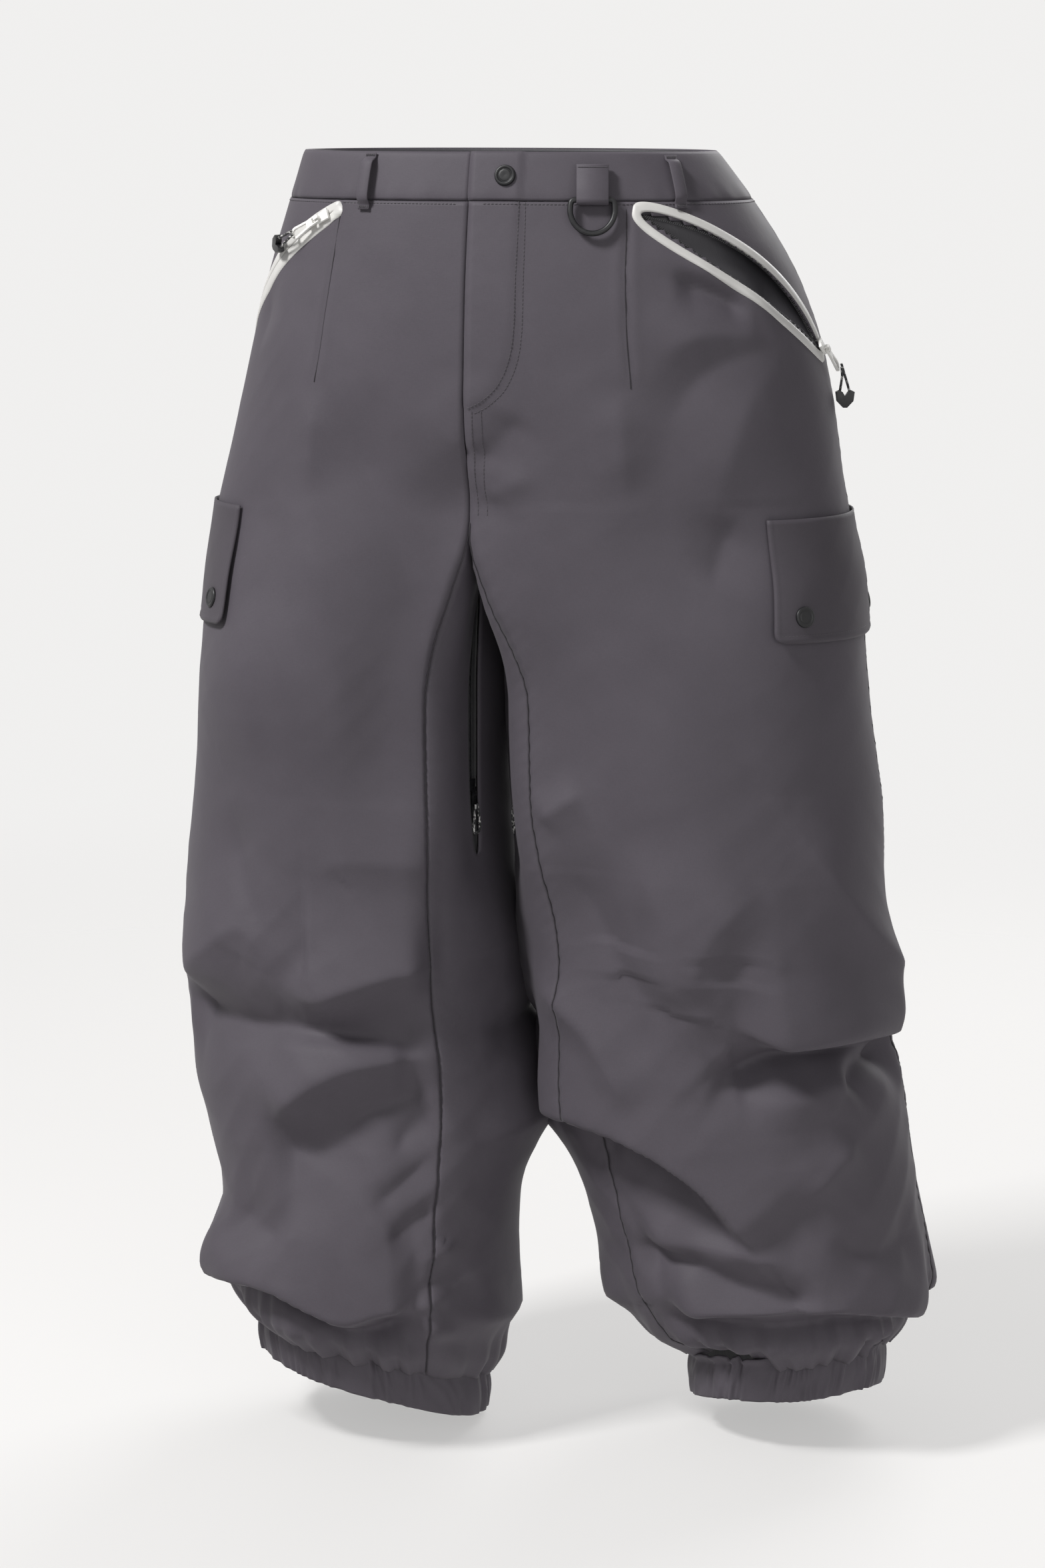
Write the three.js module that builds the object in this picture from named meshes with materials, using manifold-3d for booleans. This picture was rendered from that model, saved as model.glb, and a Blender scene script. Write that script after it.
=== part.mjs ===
// Ski pants: baggy shell pants standing as worn, with a fly, two zipped hand pockets,
// two flapped thigh pockets, zipped inner-thigh vents and gathered elastic cuffs.
// Millimetres, +Z up. The front faces -Y and +X is the wearer's left.
// The origin is the centre of the waist opening, level with its rim.
import * as THREE from "three";
import { mergeVertices } from "three/addons/utils/BufferGeometryUtils.js";
import Module from "manifold-3d";

const wasm = await Module();
wasm.setup();

// Overall sizes
const rise = 285; // waist rim to the fork of the legs
const outseam = 990; // waist rim to the top of the cuffs
const legWidth = 275; // across one leg at the knee
const legDepth = 245; // front to back of one leg at the knee

// Cloth and clearances
const cloth = 2; // shell fabric with its lining
const thinCloth = 1; // tapes, facings and mesh
const seamGap = 0.6; // between the edges of joined panels
const touch = 0.4; // between faces that lie on each other
const facet = 1.15; // how far the flat facets of a panel stray from its curve
const sliderLift = 0.4; // a slider's plate over its tape, beyond the touching distance

// Waist
const waistbandHeight = 38;
const loopWidth = 10;
const loopHeight = 46;
const loopGap = 5;
const loopStrap = 1.6;
const snapRadius = 8.3;
const snapHeight = 2.4;

// Fly
const flyDepth = 190; // waist rim to the bottom of the fly
const flyWidth = 40;
const flyTapeWidth = 14;
const flySlot = 3; // between the two zip tapes
const flyRoom = 9.3; // from the outer face back to the tapes
const flySliderSize = { width: 8, length: 11, plate: 1.3 };

// D-ring on its strap
const dRingWidth = 39;
const dRingHeight = 31;
const dRingWire = 4.5;
const dRingPlace = 96; // from the centre front
const strapWidth = 25;
const strapCloth = 1.6;

// Hand pockets
const pocketTop = { share: 0.267, drop: 48 };
const pocketEnd = { share: 0.498, drop: 156 };
const pocketBow = 9; // how far the opening bows up from a straight line
const pocketGape = { right: 2.5, left: 15 }; // half the width of the opening
const tapeWidth = 7.5;
const handBagDepth = 150;
const bagRoom = 14;

// Thigh pockets
const flapTop = 284;
const flapHeight = 96;
const flapShare = { front: 0.338, back: 0.6 };
const thighBagHeight = 165;
const thighMouth = 6; // half the height of the slot under the flap

// Vents
const ventTop = 352;
const ventEnd = 566;
const ventShare = 0.042;
const ventGape = 5.5; // half the width of the slit in the cloth
const ventZipGape = 2.5; // half the gap between the zip tapes behind it
const ventTapeWidth = 7;

// Zip sliders, their pullers and cords
const pocketSlider = { width: 9, length: 13, plate: 2.2, room: 2.8, post: 1.3 };
const pocketPuller = { length: 30, width: 10, bar: 1.4, thick: 2, windowLength: 4.6 };
const ventSlider = { width: 8, length: 10, plate: 1.4, room: 2, post: 0.8 };
const ventPuller = { length: 15, width: 6, bar: 1, thick: 1.2, windowLength: 3 };
const pocketSliderAt = { right: 0.06, left: 0.985 }; // how far along the zip each slider stands
const ventSliderAt = 0.74;
const cordDiameter = 2.2;
const tip = { width: 15, height: 14, thick: 5, strands: 9.2 }; // strands: between the two cord ends

// Cuffs
const cuffHeight = 32;
const elasticHeight = 20;
const cuffLean = { right: [-0.25, -0.16], left: [0.1, -0.12] }; // rise of the hem per mm of x and of y

// The seams, as shares of the way round a leg: 0 is the inner thigh, 0.5 the outer side
const frontSeam = 0.1;
const sideSeam = 0.53;
const backSeam = 0.9;

const panelSteps = { round: 11, hip: 7, leg: 15 };

const fabricColour = 0x5c5760;
const darkColour = 0x1c1c1e;
const whiteColour = 0xe8e6e0;

const pants = new THREE.Group();
pants.name = "ski_pants";

const materials = {
  shell: new THREE.MeshStandardMaterial({ color: fabricColour, roughness: 0.85, metalness: 0 }),
  lining: new THREE.MeshStandardMaterial({ color: 0x35333a, roughness: 0.9, metalness: 0 }),
  whiteTape: new THREE.MeshStandardMaterial({ color: whiteColour, roughness: 0.5, metalness: 0 }),
  darkTape: new THREE.MeshStandardMaterial({ color: darkColour, roughness: 0.6, metalness: 0 }),
  hardware: new THREE.MeshStandardMaterial({ color: 0x18181a, roughness: 0.35, metalness: 0.1 }),
  whiteMetal: new THREE.MeshStandardMaterial({ color: whiteColour, roughness: 0.35, metalness: 0.1 }),
  cord: new THREE.MeshStandardMaterial({ color: 0x101012, roughness: 0.8, metalness: 0 }),
};

// Sections of a leg down its length. For the hips "at" runs from 0 at the rim to 1 at the fork,
// and for the leg from 1 at the fork to 2 at the cuff. "inner" and "outer" are how far the
// section reaches from the middle plane, for a leg 275 wide, and "front" and "back" how far it
// reaches from the side plane, for a leg 245 deep.
const sections = {
  right: [
    { at: 0, inner: 0, outer: 165, front: 102, back: 102 },
    { at: 0.13, inner: 0, outer: 176, front: 112, back: 114 },
    { at: 0.33, inner: 0, outer: 194, front: 121, back: 129 },
    { at: 0.57, inner: 0, outer: 211, front: 127, back: 140 },
    { at: 1, inner: 0, outer: 240, front: 130, back: 130 },
    { at: 1.08, inner: 6, outer: 248, front: 130, back: 128 },
    { at: 1.33, inner: 7, outer: 264, front: 126, back: 123 },
    { at: 1.52, inner: -4, outer: 272, front: 128, back: 118 },
    { at: 1.67, inner: -19, outer: 262, front: 136, back: 110 },
    { at: 1.81, inner: -12, outer: 233, front: 148, back: 90 },
    { at: 1.91, inner: -3, outer: 243, front: 148, back: 88 },
    { at: 1.97, inner: 2, outer: 222, front: 142, back: 82 },
    { at: 2, inner: 12, outer: 204, front: 122, back: 62 },
  ],
  left: [
    { at: 0, inner: 0, outer: 170, front: 102, back: 102 },
    { at: 0.13, inner: 0, outer: 198, front: 112, back: 114 },
    { at: 0.33, inner: 0, outer: 234, front: 122, back: 129 },
    { at: 0.57, inner: 0, outer: 259, front: 128, back: 140 },
    { at: 1, inner: 0, outer: 281, front: 130, back: 134 },
    { at: 1.08, inner: 6, outer: 290, front: 127, back: 134 },
    { at: 1.33, inner: 8, outer: 306, front: 116, back: 134 },
    { at: 1.52, inner: 20, outer: 304, front: 106, back: 142 },
    { at: 1.67, inner: 32, outer: 323, front: 88, back: 156 },
    { at: 1.81, inner: 62, outer: 340, front: 80, back: 156 },
    { at: 1.91, inner: 85, outer: 341, front: 78, back: 156 },
    { at: 1.97, inner: 116, outer: 332, front: 70, back: 146 },
    { at: 2, inner: 152, outer: 314, front: 48, back: 122 },
  ],
};
const sectionKinds = ["inner", "outer", "front", "back"];

const smooth = (t) => {
  const c = Math.min(1, Math.max(0, t));
  return c * c * (3 - 2 * c);
};
const mix = (a, b, t) => a + (b - a) * t;
const signOf = (side) => (side === "left" ? 1 : -1);

// A smooth curve through the sections' values: cubic between knots, with slopes from the neighbours.
function sectionAt(side, drop) {
  const rows = sections[side];
  const at = drop <= rise ? drop / rise : 1 + (drop - rise) / (outseam - rise);
  let i = 0;
  while (i < rows.length - 2 && at > rows[i + 1].at) i += 1;
  const span = rows[i + 1].at - rows[i].at;
  const t = Math.min(1, (at - rows[i].at) / span);
  const slope = (k, kind) => {
    const low = rows[Math.max(0, k - 1)];
    const high = rows[Math.min(rows.length - 1, k + 1)];
    return (high[kind] - low[kind]) / (high.at - low.at);
  };
  const found = {};
  for (const kind of sectionKinds) {
    const scale = kind === "inner" || kind === "outer" ? legWidth / 275 : legDepth / 245;
    const a = rows[i][kind];
    const b = rows[i + 1][kind];
    const value =
      a * (1 + 2 * t) * (1 - t) ** 2 +
      b * t * t * (3 - 2 * t) +
      slope(i, kind) * span * t * (1 - t) ** 2 -
      slope(i + 1, kind) * span * t * t * (1 - t);
    found[kind] = value * scale;
  }
  return found;
}

const cornerAngle = 0.27 * Math.PI; // where the inner-leg seams lie on the round of the leg
const roundingDrop = 150; // how far below the fork a leg has become round
const foldDepth = 20; // how far the cloth dips between the legs at the fork
const foldReach = 48;
const squareness = 0.88;

const power = (v, p) => Math.sign(v) * Math.abs(v) ** p;

// The outer face of the pants: share goes round one leg from the inner thigh over the front,
// and drop is the distance below the waist rim. Above the fork only 0.1 to 0.9 is cloth.
function surface(side, share, drop) {
  const s = sectionAt(side, drop);
  const round = smooth((drop - rise) / roundingDrop);
  const along = (share - frontSeam) / (backSeam - frontSeam);
  const width = s.outer - s.inner;
  let hipX;
  let hipY;
  let angle;
  if (share < frontSeam) {
    const m = share / frontSeam;
    hipX = s.inner;
    hipY = -s.front * m;
    angle = cornerAngle * m;
  } else if (share > backSeam) {
    const m = (1 - share) / frontSeam;
    hipX = s.inner;
    hipY = s.back * m;
    angle = 2 * Math.PI - cornerAngle * m;
  } else {
    const theta = Math.PI * along;
    const c = power(Math.cos(theta), squareness);
    hipX = s.inner + width * Math.max(0, Math.sin(theta)) ** squareness;
    hipY = c > 0 ? -s.front * c : -s.back * c;
    angle = cornerAngle + (2 * Math.PI - 2 * cornerAngle) * along;
  }
  const dip = foldDepth * smooth((drop - 0.6 * rise) / (0.4 * rise));
  hipY *= 1 - (dip / s.front) * Math.exp(-(((hipX - s.inner) / foldReach) ** 2));
  const legX = s.inner + width / 2 - (width / 2) * power(Math.cos(angle), squareness + 0.05);
  const legY = (s.back - s.front) / 2 - ((s.front + s.back) / 2) * power(Math.sin(angle), squareness + 0.05);
  const x = signOf(side) * mix(hipX, legX, round);
  const y = mix(hipY, legY, round);
  const lean = smooth((drop - 0.84 * outseam) / (0.16 * outseam));
  const middleX = (signOf(side) * (s.inner + s.outer)) / 2;
  const middleY = (s.back - s.front) / 2;
  const [leanX, leanY] = cuffLean[side];
  const z = -drop + lean * (leanX * (x - middleX) + leanY * (y - middleY));
  return new THREE.Vector3(x, y, z);
}

// The point and the outward normal there, with the directions round and down the leg.
function frameAt(side, share, drop) {
  const du = 0.002;
  const dd = 1;
  const round = surface(side, share + du, drop).sub(surface(side, share - du, drop));
  const down = surface(side, share, drop + dd).sub(surface(side, share, Math.max(0, drop - dd)));
  const perShare = round.length() / (2 * du);
  const normal = new THREE.Vector3().crossVectors(down, round).multiplyScalar(signOf(side)).normalize();
  return { point: surface(side, share, drop), normal, round: round.normalize(), down: down.normalize(), perShare };
}

// A point off the outer face: positive is away from the leg.
function offFace(side, share, drop, offset) {
  const f = frameAt(side, share, drop);
  return f.point.addScaledVector(f.normal, offset);
}

// A closed solid between a near and a far skin: point(a, b, layer) with a and b from 0 to 1 and
// layer 0 or 1. "ring" joins a = 1 to a = 0.
function skinSolid(point, columns, rows, ring = false) {
  const across = ring ? columns : columns + 1;
  const positions = [];
  const index = [];
  for (const layer of [0, 1])
    for (let j = 0; j <= rows; j += 1)
      for (let i = 0; i < across; i += 1) positions.push(...point(i / columns, j / rows, layer));
  const layerSize = across * (rows + 1);
  const id = (i, j, layer) => layer * layerSize + j * across + (ring ? i % columns : i);
  const quad = (a, b, c, d) => index.push(a, b, c, a, c, d);
  for (let i = 0; i < columns; i += 1) {
    for (let j = 0; j < rows; j += 1) {
      quad(id(i, j, 0), id(i + 1, j, 0), id(i + 1, j + 1, 0), id(i, j + 1, 0));
      quad(id(i, j, 1), id(i, j + 1, 1), id(i + 1, j + 1, 1), id(i + 1, j, 1));
    }
    quad(id(i, 0, 0), id(i, 0, 1), id(i + 1, 0, 1), id(i + 1, 0, 0));
    quad(id(i, rows, 0), id(i + 1, rows, 0), id(i + 1, rows, 1), id(i, rows, 1));
  }
  if (!ring)
    for (let j = 0; j < rows; j += 1) {
      quad(id(0, j, 0), id(0, j + 1, 0), id(0, j + 1, 1), id(0, j, 1));
      quad(id(columns, j, 0), id(columns, j, 1), id(columns, j + 1, 1), id(columns, j + 1, 0));
    }
  const geometry = new THREE.BufferGeometry();
  geometry.setAttribute("position", new THREE.Float32BufferAttribute(positions, 3));
  geometry.setIndex(index);
  return faceOut(geometry);
}

// Turns every face round where a closed geometry's volume comes out negative.
function faceOut(geometry) {
  const p = geometry.attributes.position;
  const index = geometry.index.array;
  const [a, b, c] = [new THREE.Vector3(), new THREE.Vector3(), new THREE.Vector3()];
  let volume = 0;
  for (let i = 0; i < index.length; i += 3) {
    a.fromBufferAttribute(p, index[i]);
    b.fromBufferAttribute(p, index[i + 1]);
    c.fromBufferAttribute(p, index[i + 2]);
    volume += a.dot(b.cross(c));
  }
  if (volume < 0)
    for (let i = 0; i < index.length; i += 3) [index[i + 1], index[i + 2]] = [index[i + 2], index[i + 1]];
  geometry.computeVertexNormals();
  return geometry;
}

// Joining and cutting
function toSolid(geometry) {
  const bare = geometry.clone();
  bare.deleteAttribute("normal");
  bare.deleteAttribute("uv");
  const merged = mergeVertices(bare, 1e-4);
  return new wasm.Manifold(
    new wasm.Mesh({
      numProp: 3,
      vertProperties: new Float32Array(merged.attributes.position.array),
      triVerts: new Uint32Array(merged.index.array),
    }),
  );
}

function toGeometry(solid) {
  const mesh = solid.getMesh();
  const geometry = new THREE.BufferGeometry();
  geometry.setAttribute("position", new THREE.Float32BufferAttribute(mesh.vertProperties, 3));
  geometry.setIndex(new THREE.BufferAttribute(mesh.triVerts, 1));
  geometry.computeVertexNormals();
  return geometry;
}

const cut = (geometry, ...tools) =>
  toGeometry(tools.reduce((body, tool) => body.subtract(toSolid(tool)), toSolid(geometry)));
const join = (geometry, ...others) =>
  toGeometry(others.reduce((body, other) => body.add(toSolid(other)), toSolid(geometry)));

function addPiece(name, geometry, material, parent = pants) {
  const mesh = new THREE.Mesh(geometry, material);
  mesh.name = name;
  parent.add(mesh);
  return mesh;
}

// A group that stands on the outer face: local +Z is away from the leg, local +Y up along "upward".
function placeOn(position, normal, upward) {
  const group = new THREE.Group();
  const right = new THREE.Vector3().crossVectors(upward, normal).normalize();
  const up = new THREE.Vector3().crossVectors(normal, right);
  group.applyMatrix4(new THREE.Matrix4().makeBasis(right, up, normal).setPosition(position));
  pants.add(group);
  return group;
}

// A flat outline given a thickness, with its middle on the local XY plane at height z.
function plate(shape, thickness, z, curveSegments = 6) {
  const geometry = new THREE.ExtrudeGeometry(shape, { depth: thickness, bevelEnabled: false, curveSegments });
  return geometry.translate(0, 0, z);
}

function box(width, height, depth, x, y, z) {
  return new THREE.BoxGeometry(width, height, depth).translate(x, y, z);
}

// Openings along a line on the cloth: "line(a)" gives share and drop, "half(a)" half the gape.
function besideLine(side, line, a, distance) {
  const here = line(a);
  const ahead = line(a + 0.01);
  const f = frameAt(side, here.share, here.drop);
  const along = [(ahead.share - here.share) * f.perShare, ahead.drop - here.drop];
  const length = Math.hypot(...along);
  return {
    share: here.share + ((along[1] / length) * distance) / f.perShare,
    drop: here.drop - (along[0] / length) * distance,
  };
}

// The solid that cuts an opening through the cloth. A small "bow" keeps it wide near its ends.
function slotTool(side, line, gape, steps, bow = 1) {
  return skinSolid(
    (a, b, layer) => {
      const inside = 0.01 + 0.98 * a;
      const half = gape * Math.sin(Math.PI * inside) ** bow + 0.4;
      const p = besideLine(side, line, inside, (2 * b - 1) * half);
      return offFace(side, p.share, p.drop, layer ? -cloth - 2 : 2);
    },
    steps,
    2,
  );
}

// The tape that borders an opening all round, as one closed loop.
function loopTape(side, line, gape, width, lineLength, low, high, steps) {
  return skinSolid(
    (a, b, layer) => {
      const turn = 2 * Math.PI * a;
      const reach = 0.5 + (b * width) / lineLength;
      const rim = gape * Math.sin(turn);
      const border = b * width * power(Math.sin(turn), 0.35);
      const p = besideLine(side, line, 0.5 - reach * Math.cos(turn), rim + border);
      return offFace(side, p.share, p.drop, layer ? high : low);
    },
    steps,
    1,
    true,
  );
}

// Cord loops, from the puller's eye down to the bend in the tip and back up to the eye
const cordRoutes = {
  right: [
    [-151.8, -89.6, -66.4],
    [-157.6, -85.7, -70.8],
    [-162.9, -80.7, -75],
    [-167.6, -75.3, -78.7],
    [-169.9, -72.2, -78.6],
    [-171.7, -69.8, -76.3],
    [-172.1, -69.6, -73.2],
    [-170.8, -71.5, -70.9],
    [-165.5, -77.7, -68.8],
    [-159.4, -83.5, -66.4],
    [-153, -88.2, -63.8],
  ],
  left: [
    [270.8, 19.2, -168],
    [272.9, 21.7, -176.5],
    [275.5, 22.8, -185.3],
    [277.9, 23, -194.5],
    [276.7, 22.5, -197.8],
    [273.6, 21.4, -199.1],
    [270.5, 20.3, -197.8],
    [269.3, 19.8, -194.5],
    [270.4, 18.8, -186.7],
    [271.7, 17.9, -178.5],
    [271.4, 17.2, -170.4],
  ],
};

// The vents' cord loops hang from their pullers without a tip
const ventCordRoutes = {
  right: [
    [-12.4, -47.7, -525.6],
    [-11.5, -46.8, -532],
    [-11, -45.7, -539],
    [-10.8, -44.9, -545],
    [-11.2, -46.1, -548.1],
    [-12.3, -49, -549.4],
    [-13.3, -52, -548.1],
    [-13.7, -53.2, -545],
    [-13.5, -52.4, -539],
    [-13.1, -51.3, -532],
    [-13.2, -50, -525.6],
  ],
  left: [
    [16, -39.3, -525.7],
    [16.3, -40.2, -532],
    [16.9, -41, -539],
    [17.4, -41.5, -545],
    [17.1, -40.1, -548.1],
    [15.9, -37.1, -549.4],
    [14.7, -34.3, -548.1],
    [14.1, -33.3, -545],
    [14.1, -34.4, -539],
    [14.5, -35.8, -532],
    [15.1, -37, -525.7],
  ],
};

// Shell panels
const waistSeamDrop = waistbandHeight + seamGap;
const hemSeamDrop = outseam - seamGap;

// Share round the leg, kept half a seam gap inside both seams.
function trimmed(side, from, to, a, drop) {
  const start = from + seamGap / 2 / frameAt(side, from + 0.004, drop).perShare;
  const end = to - seamGap / 2 / frameAt(side, to - 0.004, drop).perShare;
  return mix(start, end, a);
}

function shellPanel(side, from, to) {
  const rows = panelSteps.hip + panelSteps.leg;
  const forkRow = panelSteps.hip / rows;
  const dropAt = (b) =>
    b <= forkRow
      ? mix(waistSeamDrop, rise, b / forkRow)
      : mix(rise, hemSeamDrop, (b - forkRow) / (1 - forkRow));
  return skinSolid(
    (a, b, layer) => {
      const drop = dropAt(b);
      const point = offFace(side, trimmed(side, from, to, a, drop), drop, layer ? -cloth : 0);
      if (drop <= rise) keepToSide(point, side);
      return point;
    },
    panelSteps.round,
    rows,
  );
}

// Cloth that meets at the middle plane stays half a seam gap on its own side of it.
function keepToSide(point, side) {
  const least = seamGap / 2;
  if (point.x * signOf(side) < least) point.x = signOf(side) * least;
}

const pocketLine = (a) => ({
  share: mix(pocketTop.share, pocketEnd.share, a),
  drop: mix(pocketTop.drop, pocketEnd.drop, a) - pocketBow * Math.sin(Math.PI * a),
});
const ventLine = (a) => ({ share: ventShare, drop: mix(ventTop, ventEnd, a) });
const mouthShare = { front: flapShare.front + 0.02, back: sideSeam - 0.012 };
const mouthDrop = flapTop + 14;
const mouthLine = (a) => ({ share: mix(mouthShare.front, mouthShare.back, a), drop: mouthDrop });

function lineLength(side, line) {
  let length = 0;
  for (let i = 0; i < 12; i += 1) {
    const from = line(i / 12);
    const to = line((i + 1) / 12);
    length += surface(side, from.share, from.drop).distanceTo(surface(side, to.share, to.drop));
  }
  return length;
}

function makeShell(side) {
  const front = shellPanel(side, frontSeam, sideSeam);
  const pocketSlot = slotTool(side, pocketLine, pocketGape[side], 14);
  const thighSlot = slotTool(side, mouthLine, thighMouth, 10);
  addPiece("front_panel_" + side, cut(front, pocketSlot, thighSlot), materials.shell);
  addPiece("back_panel_" + side, shellPanel(side, sideSeam, backSeam), materials.shell);
  const ventSlot = slotTool(side, ventLine, ventGape, 12, 0.3);
  addPiece("inner_leg_panel_" + side, cut(innerPanel(side), ventSlot), materials.shell);
}

// The inner-leg panel runs from the fork to the cuff, between the two inner seams.
function innerPanel(side) {
  const top = rise + seamGap;
  return skinSolid(
    (a, b, layer) => {
      const drop = mix(top, hemSeamDrop, b);
      const start = backSeam + seamGap / 2 / frameAt(side, backSeam + 0.004, drop).perShare;
      const end = 1 + frontSeam - seamGap / 2 / frameAt(side, frontSeam - 0.004, drop).perShare;
      const share = mix(start, end, a) % 1;
      const point = offFace(side, share, drop, layer ? -cloth : 0);
      if (drop < rise + 0.08 * (outseam - rise)) keepToSide(point, side);
      return point;
    },
    8,
    panelSteps.leg,
  );
}

// Waist: the band, its facing and the belt loops
function bandPoint(a, drop, offset) {
  const side = a < 0.5 ? "left" : "right";
  const half = a < 0.5 ? a * 2 : (1 - a) * 2;
  const point = offFace(side, mix(frontSeam, backSeam, half), drop, offset);
  if (a === 0 || a === 1) point.x = (signOf(side) * seamGap) / 2;
  if (a === 0.5) point.x = 0;
  return point;
}

function makeWaist() {
  const band = (top, bottom, low, high) =>
    skinSolid((a, b, layer) => bandPoint(a, mix(top, bottom, b), layer ? low : high), 44, 1);
  addPiece("waistband", band(0, waistbandHeight, -cloth, 0), materials.shell);
  const facing = band(1, waistbandHeight - 1, -cloth - touch - thinCloth, -cloth - touch);
  addPiece("waistband_facing", facing, materials.lining);
  const loops = [
    ["front_right", "right", 0.22],
    ["front_left", "left", 0.335],
    ["back_right", "right", 0.7],
    ["back_left", "left", 0.7],
    ["centre_back", "left", 0.9],
  ];
  for (const [name, side, share] of loops) {
    const middle = loopHeight / 2 + 1;
    const f = frameAt(side, Math.min(share, 0.897), middle);
    if (name === "centre_back") {
      f.point.x = 0;
      f.normal.x = 0;
      f.normal.normalize();
    }
    const group = placeOn(f.point, f.normal, new THREE.Vector3(0, 0, 1));
    addPiece("belt_loop_" + name, beltLoop(), materials.shell, group);
  }
}

// A belt loop from the side: two feet on the cloth and a strap that stands off it.
function beltLoop() {
  const foot = 4;
  const rest = touch;
  const half = loopHeight / 2;
  const shape = new THREE.Shape([
    new THREE.Vector2(rest, -half),
    new THREE.Vector2(rest + loopStrap + loopGap, -half),
    new THREE.Vector2(rest + loopStrap + loopGap, half),
    new THREE.Vector2(rest, half),
    new THREE.Vector2(rest, half - foot),
    new THREE.Vector2(rest + loopGap, half - foot),
    new THREE.Vector2(rest + loopGap, foot - half),
    new THREE.Vector2(rest, foot - half),
  ]);
  return sideOutline(shape, loopWidth);
}

// An outline drawn with x away from the leg and y up, carried across the width of the piece.
function sideOutline(shape, width, curveSegments = 6) {
  const geometry = new THREE.ExtrudeGeometry(shape, { depth: width, bevelEnabled: false, curveSegments });
  return geometry.translate(0, 0, -width / 2).rotateY(-Math.PI / 2);
}

// D-ring: a strap folded round the ring's flat bar
function makeDRing() {
  const side = "left";
  let share = frontSeam;
  while (surface(side, share, waistbandHeight).x < dRingPlace) share += 0.001;
  const f = frameAt(side, share, waistbandHeight);
  const group = placeOn(f.point, f.normal, new THREE.Vector3(0, 0, 1));
  const barGap = 0.5;
  const eye = dRingWire / 2 + barGap;
  const centre = eye + strapCloth + 2 * touch; // the bar's distance from the cloth
  const strapTop = waistbandHeight - 10;
  const shape = new THREE.Shape();
  shape.moveTo(centre - eye - strapCloth, 0);
  shape.absarc(centre, 0, eye + strapCloth, Math.PI, 2 * Math.PI, false);
  shape.lineTo(centre - eye + 2 * strapCloth, strapTop);
  shape.lineTo(centre - eye - strapCloth, strapTop);
  const hole = new THREE.Path();
  hole.absarc(centre, 0, eye, 0, 2 * Math.PI, true);
  shape.holes.push(hole);
  addPiece("d_ring_strap", sideOutline(shape, strapWidth, 8), materials.shell, group);
  addPiece("d_ring", dRing(centre), materials.hardware, group);
}

function dRing(centre) {
  const half = (dRingWidth - dRingWire) / 2;
  const height = dRingHeight - dRingWire;
  const points = [-0.62, -0.2, 0.2, 0.62].map((t) => new THREE.Vector3(half * t, 0, centre));
  points.push(new THREE.Vector3(half * 0.93, -1.2, centre));
  for (let i = 0; i <= 10; i += 1) {
    const angle = (Math.PI * i) / 10;
    const y = -height * (0.3 + 0.7 * Math.sin(angle));
    points.push(new THREE.Vector3(half * Math.cos(angle), y, centre));
  }
  points.push(new THREE.Vector3(-half * 0.93, -1.2, centre));
  const path = new THREE.CatmullRomCurve3(points, true);
  const steps = 32;
  const sides = 8;
  const frames = path.computeFrenetFrames(steps, true);
  const positions = [];
  const index = [];
  for (let i = 0; i < steps; i += 1) {
    const at = path.getPointAt(i / steps);
    for (let k = 0; k < sides; k += 1) {
      const angle = (2 * Math.PI * k) / sides;
      const p = at.clone();
      p.addScaledVector(frames.normals[i], (Math.cos(angle) * dRingWire) / 2);
      p.addScaledVector(frames.binormals[i], (Math.sin(angle) * dRingWire) / 2);
      positions.push(...p);
      const next = (i + 1) % steps;
      const turn = (k + 1) % sides;
      index.push(i * sides + k, next * sides + k, next * sides + turn);
      index.push(i * sides + k, next * sides + turn, i * sides + turn);
    }
  }
  const geometry = new THREE.BufferGeometry();
  geometry.setAttribute("position", new THREE.Float32BufferAttribute(positions, 3));
  geometry.setIndex(index);
  return faceOut(geometry);
}

// Snaps: a cap on the upper layer and a stud under it
function snapCap(radius) {
  const profile = [
    [0, 0],
    [radius, 0],
    [radius, 0.5 * snapHeight],
    [0.86 * radius, snapHeight],
    [0, snapHeight],
  ].map((p) => new THREE.Vector2(...p));
  return new THREE.LatheGeometry(profile, 16).rotateX(Math.PI / 2);
}

function snapStud(radius, height) {
  const profile = [
    [0, 0],
    [radius, 0],
    [radius, 0.5 * height],
    [0.5 * radius, height],
    [0, height],
  ].map((p) => new THREE.Vector2(...p));
  return new THREE.LatheGeometry(profile, 12).rotateX(Math.PI / 2);
}

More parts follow.
